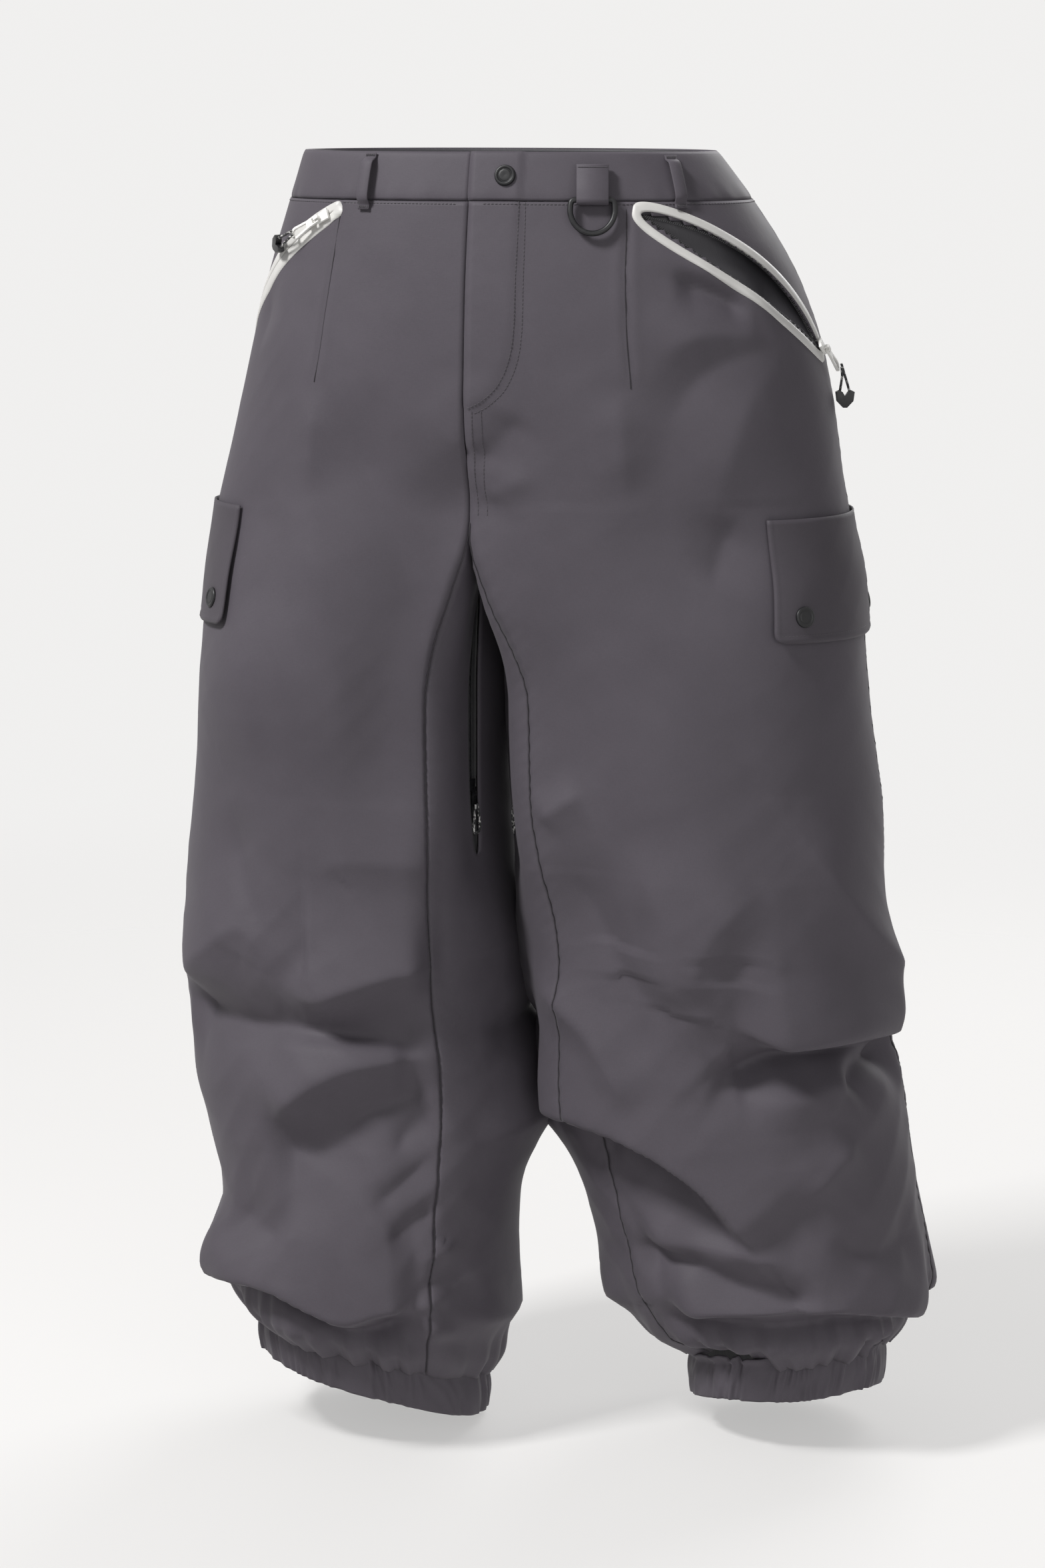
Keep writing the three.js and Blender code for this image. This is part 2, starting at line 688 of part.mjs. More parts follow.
// Fly: shield behind the opening, two zip tapes, and the slider between them
function makeFly() {
  const capAt = frameAt("left", 0.13, waistbandHeight / 2);
  const capGroup = placeOn(capAt.point.clone().addScaledVector(capAt.normal, touch), capAt.normal, new THREE.Vector3(0, 0, 1));
  addPiece("waist_snap_cap", snapCap(snapRadius), materials.hardware, capGroup);

  const tapeTop = waistSeamDrop + 2;
  const tapeLength = flyDepth - tapeTop;
  const zipX = flyWidth / 2;
  const top = surfaceBehind(zipX, tapeTop, flyRoom);
  const bottom = surfaceBehind(zipX, flyDepth, flyRoom);
  const upward = top.clone().sub(bottom).normalize();
  const normal = new THREE.Vector3(1, 0, 0).cross(upward).normalize().negate();
  const outward = normal.y < 0 ? normal : normal.negate();
  const group = placeOn(top.clone().lerp(bottom, 0.5), outward, upward);
  const tapeAt = flySlot / 2 + flyTapeWidth / 2;
  for (const [side, sign] of [["right", -1], ["left", 1]]) {
    const tape = box(flyTapeWidth, tapeLength, thinCloth, sign * tapeAt, 0, 0);
    addPiece("fly_tape_" + side, tape, materials.darkTape, group);
  }
  const { width, length, plate: thick } = flySliderSize;
  const away = thinCloth / 2 + touch + thick / 2;
  const y = tapeLength / 2 - length / 2 - 1;
  const body = join(
    box(width, length, thick, 0, y, away),
    box(width, length, thick, 0, y, -away),
    box(flySlot - 1.2, length - 2, 2 * away, 0, y, 0),
  );
  addPiece("fly_slider", body, materials.hardware, group);
  const pullTop = y + 1;
  const pull = box(4, 13, 0.9, 0, pullTop - 6.5, away + thick / 2 + touch + 0.45);
  addPiece("fly_pull", pull, materials.hardware, group);

  // The shield lies flat behind the slider and reaches up behind the waistband.
  const shieldAt = -(away + thick / 2 + touch + cloth / 2);
  const shieldTop = tapeLength / 2 + tapeTop - 3;
  const shieldLength = shieldTop + tapeLength / 2 + 8;
  const shield = box(flyWidth + 8, shieldLength, cloth, 0, shieldTop - shieldLength / 2, shieldAt);
  addPiece("fly_shield", shield, materials.shell, group);

  const stud = snapStud(0.6 * snapRadius, 2);
  const studY = tapeLength / 2 + tapeTop - waistbandHeight / 2;
  stud.translate(capAt.point.x - zipX, studY, shieldAt + cloth / 2 + touch);
  addPiece("waist_snap_stud", stud, materials.hardware, group);
}

// The point a given depth behind the front, at x across and drop down.
function surfaceBehind(x, drop, depth) {
  const side = x < 0 ? "right" : "left";
  let low = frontSeam;
  let high = 0.4;
  for (let i = 0; i < 24; i += 1) {
    const middle = (low + high) / 2;
    if (Math.abs(surface(side, middle, drop).x) < Math.abs(x)) low = middle;
    else high = middle;
  }
  const point = surface(side, low, drop);
  point.x = x;
  point.y += depth;
  return point;
}

// A zip slider: a plate with a small bridge over its lower end that carries the puller
function sliderGeometry({ width, length, plate: thick, room, post }) {
  const outline = new THREE.Shape();
  outline.moveTo(-width / 2, length / 2);
  outline.lineTo(width / 2, length / 2);
  outline.lineTo(width * 0.36, -length / 2);
  outline.lineTo(-width * 0.36, -length / 2);
  const bridgeWidth = 0.24 * width;
  const sink = 0.1; // the posts stand in the plate
  const { y } = pivotOf({ length, plate: thick, room, post });
  const postHeight = room + post;
  return join(
    plate(outline, thick, 0),
    box(bridgeWidth, post, postHeight, 0, y - (room + post) / 2, thick + postHeight / 2 - sink),
    box(bridgeWidth, post, postHeight, 0, y + (room + post) / 2, thick + postHeight / 2 - sink),
    box(bridgeWidth, room + 2 * post, post, 0, y, thick + room + post / 2 - sink),
  );
}

// Where the puller's bar turns in the bridge, from the middle of the slider's back.
function pivotOf({ length, plate: thick, room, post }) {
  return { y: -length / 2 + post + room / 2 + 0.4, z: thick + room / 2 - 0.1 };
}

// The puller hangs from the bridge by the bar over its window, and its eye takes the cord.
function pullerGeometry({ length, width, bar, thick, windowLength }) {
  const neck = 0.32 * width;
  const end = -length + bar / 2 + width / 2;
  const outline = new THREE.Shape();
  outline.moveTo(-neck, bar / 2);
  outline.lineTo(neck, bar / 2);
  outline.lineTo(neck, -0.3 * length);
  outline.absarc(0, end, width / 2, 0, -Math.PI, true);
  outline.lineTo(-neck, -0.3 * length);
  const window = new THREE.Path();
  const side = neck - 0.11 * width;
  window.moveTo(-side, -bar / 2);
  window.lineTo(-side, -bar / 2 - windowLength);
  window.lineTo(side, -bar / 2 - windowLength);
  window.lineTo(side, -bar / 2);
  const eye = new THREE.Path();
  const eyeRadius = 0.31 * width;
  eye.moveTo(0.6 * eyeRadius, -0.4 * length);
  eye.lineTo(-0.6 * eyeRadius, -0.4 * length);
  eye.absarc(0, end, eyeRadius, Math.PI, 2 * Math.PI, false);
  outline.holes.push(window, eye);
  return plate(outline, thick, -thick / 2, 5);
}

// A closed tube along a smooth route.
function cordTube(route, steps, diameter = cordDiameter) {
  const ring = [];
  for (let k = 0; k < 8; k += 1) {
    const angle = (2 * Math.PI * k) / 8;
    ring.push(new THREE.Vector2((Math.cos(angle) * diameter) / 2, (Math.sin(angle) * diameter) / 2));
  }
  const path = new THREE.CatmullRomCurve3(route.map((p) => new THREE.Vector3(...p)));
  return new THREE.ExtrudeGeometry(new THREE.Shape(ring), { steps, bevelEnabled: false, extrudePath: path });
}

// Where a zip slider stands on its line, with the puller pointing on along the line.
function sliderPlace(side, line, a, lift) {
  const here = line(a);
  const f = frameAt(side, here.share, here.drop);
  const ahead = line(a + 0.02);
  const towards = surface(side, ahead.share, ahead.drop).sub(f.point);
  towards.addScaledVector(f.normal, -towards.dot(f.normal)).normalize();
  return placeOn(f.point.addScaledVector(f.normal, lift), f.normal, towards.negate());
}

function makeHandPocket(side) {
  const length = lineLength(side, pocketLine);
  const tape = loopTape(side, pocketLine, pocketGape[side], tapeWidth, length, touch, touch + thinCloth, 32);
  addPiece("hand_pocket_tape_" + side, tape, materials.whiteTape);
  const group = sliderPlace(side, pocketLine, pocketSliderAt[side], 2 * touch + thinCloth + sliderLift);
  const pivot = pivotOf(pocketSlider);
  addPiece("hand_pocket_slider_" + side, sliderGeometry(pocketSlider), materials.whiteMetal, group);
  const puller = addPiece("hand_pocket_puller_" + side, pullerGeometry(pocketPuller), materials.whiteMetal, group);
  puller.position.set(0, pivot.y, pivot.z);
  const bag = bagSolid(side, [0.2, 0.5], [pocketTop.drop - 2, pocketTop.drop + handBagDepth]);
  addPiece("hand_pocket_bag_" + side, bag, materials.lining);
  addPiece("hand_pocket_cord_" + side, cordTube(cordRoutes[side], 22), materials.cord);
  addPiece("hand_pocket_cord_tip_" + side, tipGeometry(side), materials.hardware);
}

// The moulded tip holds both ends of the cord loop: a chevron with a channel for the bend.
function tipGeometry(side) {
  const route = cordRoutes[side].map((p) => new THREE.Vector3(...p));
  const middle = (route.length - 1) / 2;
  const low = route[middle];
  const across = route[middle + 1].clone().sub(route[middle - 1]).normalize();
  const up = route[middle + 2].clone().add(route[middle - 2]).multiplyScalar(0.5).sub(low).normalize();
  const normal = new THREE.Vector3().crossVectors(across, up).normalize();
  const w = tip.width / 2;
  const h = tip.height;
  const shape = new THREE.Shape(
    [
      [-w, 0.62 * h],
      [-0.62 * w, 0.72 * h],
      [-0.3 * w, 0.62 * h],
      [0, 0.36 * h],
      [0.3 * w, 0.62 * h],
      [0.62 * w, 0.72 * h],
      [w, 0.62 * h],
      [0.88 * w, 0.1 * h],
      [0.2 * w, -0.28 * h],
      [-0.2 * w, -0.28 * h],
      [-0.88 * w, 0.1 * h],
    ].map((p) => new THREE.Vector2(...p)),
  );
  const body = plate(shape, tip.thick, -tip.thick / 2);
  body.applyMatrix4(new THREE.Matrix4().makeBasis(across, up, normal).setPosition(low));
  return cut(body, cordTube(cordRoutes[side], 22, cordDiameter + 2 * touch));
}

// A flat bag behind the cloth, open towards it: a tray whose mouth is covered by the panel.
function bagSolid(side, shares, drops) {
  const border = 0.5 * cloth;
  const tray = (inset, low, high) =>
    skinSolid(
      (a, b, layer) => {
        const drop = mix(drops[0] + inset, drops[1] - inset, b);
        const f = frameAt(side, shares[0], drop);
        const reduce = inset / f.perShare;
        return offFace(side, mix(shares[0] + reduce, shares[1] - reduce, a), drop, layer ? low : high);
      },
      5,
      4,
    );
  const face = -cloth - touch - facet;
  return cut(tray(0, face - bagRoom, face), tray(border, face - bagRoom + border, face + 1));
}

function makeThighPocket(side) {
  const lift = 2 * touch + 1.2;
  const flap = skinSolid(
    (a, b, layer) => {
      const drop = mix(flapTop, flapTop + flapHeight, b);
      return offFace(side, mix(flapShare.front, flapShare.back, a), drop, layer ? lift : lift + cloth);
    },
    9,
    4,
  );
  addPiece("cargo_flap_" + side, flap, materials.shell);
  for (const [place, share] of [["front", flapShare.front + 0.035], ["rear", flapShare.back - 0.035]]) {
    const f = frameAt(side, share, flapTop + flapHeight - 20);
    const up = new THREE.Vector3(0, 0, 1);
    const capGroup = placeOn(f.point.clone().addScaledVector(f.normal, lift + cloth + touch + 0.3), f.normal, up);
    addPiece("cargo_snap_cap_" + place + "_" + side, snapCap(snapRadius), materials.hardware, capGroup);
    const studGroup = placeOn(f.point.clone().addScaledVector(f.normal, touch), f.normal, up);
    addPiece("cargo_snap_stud_" + place + "_" + side, snapStud(0.6 * snapRadius, 1), materials.hardware, studGroup);
  }
  const bag = bagSolid(side, [mouthShare.front - 0.006, mouthShare.back + 0.002], [mouthDrop - 12, mouthDrop - 12 + thighBagHeight]);
  addPiece("cargo_pocket_bag_" + side, bag, materials.lining);
}

function makeVent(side) {
  const low = -cloth - touch - facet - thinCloth;
  const length = lineLength(side, ventLine);
  const tape = loopTape(side, ventLine, ventZipGape, ventTapeWidth, length, low, low + thinCloth, 32);
  addPiece("vent_tape_" + side, tape, materials.darkTape);
  const mesh = skinSolid(
    (a, b, layer) => {
      const drop = mix(ventTop - 8, ventEnd + 8, b);
      const half = 16 / frameAt(side, ventShare, drop).perShare;
      return offFace(side, mix(ventShare - half, ventShare + half, a), drop, low - 2 * touch - (layer ? thinCloth : 0));
    },
    3,
    10,
  );
  addPiece("vent_mesh_" + side, mesh, materials.lining);
  const group = sliderPlace(side, ventLine, ventSliderAt, low + thinCloth + 2 * touch);
  const pivot = pivotOf(ventSlider);
  addPiece("vent_slider_" + side, sliderGeometry(ventSlider), materials.hardware, group);
  const puller = addPiece("vent_puller_" + side, pullerGeometry(ventPuller), materials.hardware, group);
  puller.position.set(0, pivot.y, pivot.z);
  addPiece("vent_cord_" + side, cordTube(ventCordRoutes[side], 22), materials.cord);
}

// Cuffs: the gathered band and the elastic inside it
function makeCuff(side) {
  const ring = (top, bottom, low, high) =>
    skinSolid((a, b, layer) => offFace(side, a % 1, mix(top, bottom, b), layer ? low : high), 40, 1, true);
  const start = outseam;
  addPiece("cuff_" + side, ring(start, start + cuffHeight, -cloth, 0), materials.shell);
  const inset = (cuffHeight - elasticHeight) / 2;
  const elastic = ring(start + inset, start + inset + elasticHeight, -cloth - touch - 1.5, -cloth - touch);
  addPiece("cuff_elastic_" + side, elastic, materials.darkTape);
}

makeWaist();
makeFly();
makeDRing();
for (const side of ["right", "left"]) {
  makeShell(side);
  makeHandPocket(side);
  makeThighPocket(side);
  makeVent(side);
  makeCuff(side);
}

export default pants;
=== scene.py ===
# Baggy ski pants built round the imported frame: shell panels with sewn seams and folds, zipped
# pockets and vents, thigh flaps, gathered cuffs, small hardware and cords.
# Shapes are worked out in millimetres and turned into metres where a mesh is made.
import math

import bmesh
import bpy
import numpy as np
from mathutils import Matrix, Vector


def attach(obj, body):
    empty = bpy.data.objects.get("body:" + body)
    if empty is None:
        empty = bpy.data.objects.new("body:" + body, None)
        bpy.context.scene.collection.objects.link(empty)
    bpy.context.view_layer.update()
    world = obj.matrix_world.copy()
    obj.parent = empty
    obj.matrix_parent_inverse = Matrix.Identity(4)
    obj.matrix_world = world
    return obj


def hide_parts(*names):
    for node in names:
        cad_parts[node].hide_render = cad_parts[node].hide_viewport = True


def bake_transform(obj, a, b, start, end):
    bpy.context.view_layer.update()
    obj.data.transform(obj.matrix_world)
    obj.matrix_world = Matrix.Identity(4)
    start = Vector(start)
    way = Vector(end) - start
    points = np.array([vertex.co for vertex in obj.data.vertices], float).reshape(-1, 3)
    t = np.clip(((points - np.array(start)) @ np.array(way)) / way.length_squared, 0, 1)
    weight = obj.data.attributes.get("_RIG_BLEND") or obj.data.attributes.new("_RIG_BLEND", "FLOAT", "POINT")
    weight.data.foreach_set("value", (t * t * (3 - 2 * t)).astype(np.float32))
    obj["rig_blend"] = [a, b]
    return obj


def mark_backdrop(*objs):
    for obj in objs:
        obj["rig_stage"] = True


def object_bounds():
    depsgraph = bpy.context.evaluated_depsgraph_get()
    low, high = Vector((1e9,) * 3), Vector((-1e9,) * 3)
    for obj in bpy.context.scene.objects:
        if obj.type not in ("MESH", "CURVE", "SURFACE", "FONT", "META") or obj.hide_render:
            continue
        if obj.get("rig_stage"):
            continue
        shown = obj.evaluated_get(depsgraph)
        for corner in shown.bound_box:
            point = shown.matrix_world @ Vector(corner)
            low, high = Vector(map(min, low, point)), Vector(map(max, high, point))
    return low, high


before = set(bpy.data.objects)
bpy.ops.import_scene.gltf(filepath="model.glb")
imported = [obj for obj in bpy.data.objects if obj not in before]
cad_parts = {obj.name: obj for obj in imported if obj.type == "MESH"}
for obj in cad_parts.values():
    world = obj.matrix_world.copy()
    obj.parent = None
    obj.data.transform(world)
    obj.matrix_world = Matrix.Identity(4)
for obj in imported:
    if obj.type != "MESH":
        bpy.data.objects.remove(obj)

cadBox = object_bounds()
metres = 0.001
sides = ("right", "left")
scene = bpy.context.scene
print("frame loaded")

# ---- camera ----
view = {"turn": 15, "height": 9.9, "aim": (12.2, 3.3, -516.6), "away": 3300, "lens": 92}
turn, height = math.radians(view["turn"]), math.radians(view["height"])
back = Vector((math.sin(turn) * math.cos(height), -math.cos(turn) * math.cos(height), math.sin(height)))
camera = bpy.data.objects.new("camera", bpy.data.cameras.new("camera"))
scene.collection.objects.link(camera)
camera.data.lens = view["lens"]
camera.data.sensor_width = 36
camera.data.clip_end = 50
camera.location = (Vector(view["aim"]) + back * view["away"]) * metres
camera.rotation_mode = "QUATERNION"
camera.rotation_quaternion = (-back).to_track_quat("-Z", "Y")
scene.camera = camera
print("camera placed")


# ---- mesh tools ----
def unit(v):
    return v / np.maximum(1e-12, np.linalg.norm(v, axis=-1, keepdims=True))


def smooth(t):
    c = np.clip(t, 0, 1)
    return c * c * (3 - 2 * c)


def mix(a, b, t):
    return a + (b - a) * t


# A bell: 1 in the middle, and falling away on both sides by the given width.
def bell(x, middle, width):
    return np.exp(-(((x - middle) / width) ** 2))


# Places from 0 to 1 down the rows and along the columns of a grid.
def gridOf(rows, columns):
    return np.meshgrid(np.linspace(0, 1, rows), np.linspace(0, 1, columns), indexing="ij")


# Four-cornered faces between neighbouring points of a grid stored row by row; a ring closes its columns.
def gridFaces(rows, columns, ring=False):
    j, i = np.meshgrid(np.arange(rows - 1), np.arange(columns if ring else columns - 1), indexing="ij")
    k = (i + 1) % columns
    here, below = j * columns, (j + 1) * columns
    return np.stack([here + i, here + k, below + k, below + i], -1).reshape(-1, 4)


# Turns the faces round where most of them look against "outward".
def faceTowards(points, faces, outward):
    a, b, c = (points[faces[:, k]] for k in (0, 1, 2))
    agree = np.sum(np.cross(b - a, c - b) * outward[faces[:, 0]], -1)
    return faces if agree.sum() > 0 else faces[:, ::-1]


# Turns the faces of a closed form round where its volume comes out negative.
def facedOut(points, faces):
    p = points - points.mean(0)
    split = np.vstack([faces[:, [0, 1, 2]], faces[:, [0, 2, 3]]]) if faces.shape[1] == 4 else faces
    volume = np.sum(p[split[:, 0]] * np.cross(p[split[:, 1]], p[split[:, 2]]))
    return faces if volume > 0 else faces[:, ::-1]


# A mesh from points in millimetres; "flat" gives each point its place on the flat cloth.
def makePiece(name, points, faces, finishes, flat=None):
    mesh = bpy.data.meshes.new(name)
    mesh.from_pydata((np.asarray(points) * metres).tolist(), [], [list(map(int, face)) for face in faces])
    if flat is not None:
        corners = np.zeros(len(mesh.loops), int)
        mesh.loops.foreach_get("vertex_index", corners)
        layer = mesh.uv_layers.new(name="cloth")
        layer.data.foreach_set("uv", (np.asarray(flat)[corners] * metres).astype(np.float32).ravel())
    for finish in finishes:
        mesh.materials.append(finish)
    mesh.shade_smooth()
    made = bpy.data.objects.new(name, mesh)
    scene.collection.objects.link(made)
    return made


# Gives a sheet its thickness on the side away from its face; the inside takes the second finish.
def thicken(piece, thickness, inside=1):
    wall = piece.modifiers.new("thickness", "SOLIDIFY")
    wall.thickness = thickness * metres
    wall.offset = -1
    wall.material_offset = inside
    return piece


def settle(piece, body, slot, *nodes):
    if "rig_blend" not in piece:
        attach(piece, body)
    if nodes:
        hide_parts(*nodes)
    return piece


# How far each point of a line lies along it.
def distances(line):
    return np.concatenate([[0], np.cumsum(np.linalg.norm(np.diff(line, axis=0), axis=1))])


def lengthOf(line):
    return float(distances(line)[-1])


# Reads values known at a line's points at other distances along it.
def readAt(at, line, values):
    run = distances(line)
    return np.stack([np.interp(at, run, values[:, k]) for k in range(values.shape[1])], -1)


# A smooth line through a few points: cubic between them with slopes from the neighbours, then
# spread evenly along its length.
def smoothLine(points, count, closed=False):
    p = np.asarray(points, float)
    p = np.vstack([p[-1:], p, p[:2]]) if closed else np.vstack([2 * p[0] - p[1], p, 2 * p[-1] - p[-2]])
    t = np.linspace(0, len(p) - 3, 24 * (len(p) - 3) + 1)
    i = np.minimum(t.astype(int), len(p) - 4)
    f = (t - i)[:, None]
    a, b, c, d = p[i], p[i + 1], p[i + 2], p[i + 3]
    bend, twist = 2 * a - 5 * b + 4 * c - d, 3 * b - 3 * c + d - a
    line = 0.5 * (2 * b + (c - a) * f + bend * f * f + twist * f**3)
    at = np.linspace(0, lengthOf(line), count + closed)[: count]
    return readAt(at, line, line)


# Directions square to a line: the first lies in the plane that the line mostly keeps to.
def lineFrame(line, closed=False, up=None):
    ahead = np.roll(line, -1, 0) - np.roll(line, 1, 0) if closed else np.gradient(line, axis=0)
    along = unit(ahead)
    upward = np.linalg.svd(line - line.mean(0))[2][2] if up is None else np.asarray(up, float)
    across = unit(np.cross(along, upward))
    return along, across, np.cross(across, along)


# A tube: rings of points stand square to a line at the given radius, which may vary over the tube.
def tube(line, radius, around, closed=False, up=None):
    _, across, over = lineFrame(line, closed, up)
    angle = (2 * np.pi * np.arange(around) / around)[None, :, None]
    r = np.broadcast_to(radius, (len(line), around))[..., None]
    ring = line[:, None] + r * (np.cos(angle) * across[:, None] + np.sin(angle) * over[:, None])
    points = ring.reshape(-1, 3)
    count, last = len(points), (len(line) - 1) * around
    if closed:
        return points, facedOut(points, gridFaces(len(line) + 1, around, True) % count)
    points = np.vstack([points, line[0], line[-1]])
    caps = [[(k + 1) % around, k, count] for k in range(around)]
    caps += [[last + k, last + (k + 1) % around, count + 1] for k in range(around)]
    return points, facedOut(points, gridFaces(len(line), around, True)).tolist() + caps


# A flat strip: a rounded oblong, wide along "side" and thin along the turn of the line, is
# carried along the line.
def strip(line, side, width, thick):
    along = unit(np.gradient(line, axis=0))
    across = unit(np.broadcast_to(np.asarray(side, float), line.shape))
    over = np.cross(across, along)
    w, t = width / 2, thick / 2
    c = 0.5 * min(1, thick)
    corners = [(-w, -t + c), (-w + c, -t), (w - c, -t), (w, -t + c)]
    outline = np.array(corners + [(-x, -y) for x, y in corners])
    n = len(outline)
    points = line[:, None] + outline[None, :, :1] * across[:, None] + outline[None, :, 1:] * over[:, None]
    points = points.reshape(-1, 3)
    faces = facedOut(points, gridFaces(len(line), n, True)).tolist()
    first, last = list(range(n)), list(range((len(line) - 1) * n, len(line) * n))
    flat = 2.0 * np.stack([np.repeat(np.arange(len(line)), n), np.tile(np.arange(n), len(line))], -1)
    return points, faces + [first[::-1], last], flat


# Joins several (points, faces) shapes into one.
def joined(shapes):
    points, faces, start = [], [], 0
    for p, f in shapes:
        points.append(np.asarray(p))
        faces += [[v + start for v in face] for face in f]
        start += len(p)
    return np.vstack(points), faces


# Makes every face of a closed piece look outwards.
def turnOut(piece):
    work = bmesh.new()
    work.from_mesh(piece.data)
    bmesh.ops.recalc_face_normals(work, faces=work.faces)
    work.to_mesh(piece.data)
    work.free()
    return piece


# ---- finishes ----
# A value in a finish's nodes; sums and products of values add Math nodes.
class Amount:
    def __init__(self, finish, socket):
        self.finish, self.socket = finish, socket

    def maths(self, operation, *others):
        values = [self, *others]
        found = self.finish.node("ShaderNodeMath", {"operation": operation}, dict(enumerate(values)))
        return Amount(self.finish, found.outputs[0])

    def __add__(self, other):
        return self.maths("ADD", other)

    def __mul__(self, other):
        return self.maths("MULTIPLY", other)

    def __sub__(self, other):
        return self.maths("SUBTRACT", other)

    def __rsub__(self, other):
        return (self * -1) + other

    __radd__, __rmul__ = __add__, __mul__

    def above(self, edge, soft):
        found = self.finish.node(
            "ShaderNodeMapRange",
            {"interpolation_type": "SMOOTHSTEP"},
            {"Value": self, "From Min": edge - soft, "From Max": edge + soft},
        )
        return Amount(self.finish, found.outputs[0])


class Finish:
    def __init__(self, name):
        self.material = bpy.data.materials.new(name)
        self.material.use_nodes = True
        self.tree = self.material.node_tree
        self.tree.nodes.clear()

    # Adds a node: its settings first, then its sockets' values or links.
    def node(self, kind, settings=None, sockets=None):
        made = self.tree.nodes.new(kind)
        for key, value in (settings or {}).items():
            setattr(made, key, value)
        for key, value in (sockets or {}).items():
            if isinstance(value, Amount):
                value = value.socket
            if isinstance(value, bpy.types.NodeSocket):
                self.tree.links.new(value, made.inputs[key])
            else:
                made.inputs[key].default_value = value
        return made

    def place(self):
        return self.node("ShaderNodeTexCoord").outputs["Object"]

    def flat(self):
        return self.node("ShaderNodeUVMap", {"uv_map": "cloth"}).outputs[0]

    def clothPlace(self, stretch, angle=0):
        sockets = {"Vector": self.flat(), "Scale": stretch, "Rotation": (0, 0, angle)}
        return self.node("ShaderNodeMapping", None, sockets).outputs[0]

    def noise(self, place, scale, detail=2, roughness=0.5):
        sockets = {"Vector": place, "Scale": scale, "Detail": detail, "Roughness": roughness}
        return Amount(self, self.node("ShaderNodeTexNoise", None, sockets).outputs[0])

    def cells(self, place, scale, feature="F1"):
        found = self.node("ShaderNodeTexVoronoi", {"feature": feature}, {"Vector": place, "Scale": scale})
        return Amount(self, found.outputs[0])

    def between(self, share, low, high):
        sockets = {0: share, 6: low, 7: high}
        return self.node("ShaderNodeMix", {"data_type": "RGBA"}, sockets).outputs[2]

    # Closes the finish: what varies goes to colour, roughness and bump, the rest are plain numbers.
    def close(self, colour, roughness, relief=None, depth=0.0001, strength=0.5, **plain):
        sockets = {"Base Color": colour, "Roughness": roughness}
        sockets.update({key.replace("_", " "): value for key, value in plain.items()})
        if relief is not None:
            bump = {"Strength": strength, "Distance": depth, "Height": relief}
            sockets["Normal"] = self.node("ShaderNodeBump", None, bump).outputs[0]
        shader = self.node("ShaderNodeBsdfPrincipled", None, sockets)
        self.node("ShaderNodeOutputMaterial", None, {"Surface": shader.outputs[0]})
        return self.material


shellLook = {"deep": (0.062, 0.0545, 0.0655, 1), "pale": (0.081, 0.072, 0.0855, 1), "sheen": 0.04}


def shellFinish(name, deep, pale):
    f = Finish(name)
    place = f.place()
    warp = f.noise(f.clothPlace((1500, 260, 1)), 1, 2)
    weft = f.noise(f.clothPlace((260, 1500, 1)), 1, 2)
    weave = warp * 0.5 + weft * 0.5
    mottle = f.noise(place, 16, 4, 0.6)
    specks = f.noise(place, 900, 1)
    share = (mottle - 0.5) * 1.3 + (weave - 0.5) * 0.9 + (specks - 0.5) * 0.35 + 0.5
    crumple = f.noise(place, 95, 3, 0.55)
    relief = weave * 0.35 + crumple * 0.9
    return f.close(
        f.between(share, deep, pale), (mottle - 0.5) * 0.2 + 0.62, relief, 0.0006, 0.32,
        Sheen_Weight=shellLook["sheen"], Sheen_Roughness=0.45, Specular_IOR_Level=0.2,
    )


shell = shellFinish("shell_fabric", shellLook["deep"], shellLook["pale"])
# Painted shade: a near-black copy of the shell cloth for the cords laid in the seams and darts, standing for
# the shadow in their recesses.
seamShade = shellFinish("seam_painted_shade", (0.020, 0.018, 0.021, 1), (0.030, 0.027, 0.031, 1))
# Painted shade: a darker copy of the shell cloth, used on the flaps and on the pocket bindings under them.
flapShadedShell = shellFinish("flap_painted_shade", (0.050, 0.044, 0.052, 1), (0.066, 0.058, 0.069, 1))


def liningFinish():
    f = Finish("lining_fabric")
    place = f.place()
    ribs = f.noise(f.clothPlace((700, 120, 1)), 1, 2)
    tone = f.noise(place, 30, 3)
    colour = f.between(tone * 0.7 + ribs * 0.3, (0.014, 0.013, 0.017, 1), (0.040, 0.037, 0.044, 1))
    grain = ribs + f.noise(place, 140, 2)
    return f.close(colour, (ribs - 0.5) * 0.2 + 0.6, grain, 0.0003, 0.4, Sheen_Weight=0.1)


def whiteTapeFinish():
    f = Finish("white_tape")
    place = f.place()
    wear = f.noise(place, 60, 4, 0.6)
    colour = f.between(wear, (0.50, 0.49, 0.475, 1), (0.62, 0.61, 0.585, 1))
    return f.close(colour, wear * 0.2 + 0.32, f.noise(place, 420, 2), 0.0002, 0.25, Specular_IOR_Level=0.5)


def darkTapeFinish():
    f = Finish("dark_tape")
    ribs = f.noise(f.clothPlace((1300, 160, 1)), 1, 1)
    cross = f.noise(f.clothPlace((160, 1300, 1)), 1, 1)
    weave = ribs * 0.5 + cross * 0.5
    colour = f.between(weave, (0.008, 0.008, 0.009, 1), (0.030, 0.029, 0.032, 1))
    return f.close(colour, weave * 0.3 + 0.5, weave, 0.0005, 0.5, Sheen_Weight=0.1)


def hardwareFinish():
    f = Finish("black_hardware")
    place = f.place()
    grain = f.noise(place, 260, 3)
    scuffs = f.noise(place, 45, 5, 0.7).above(0.62, 0.1)
    colour = f.between(scuffs, (0.006, 0.006, 0.007, 1), (0.020, 0.020, 0.022, 1))
    return f.close(colour, grain * 0.16 + scuffs * 0.12 + 0.34, grain, 0.00015, 0.25, Specular_IOR_Level=0.34)


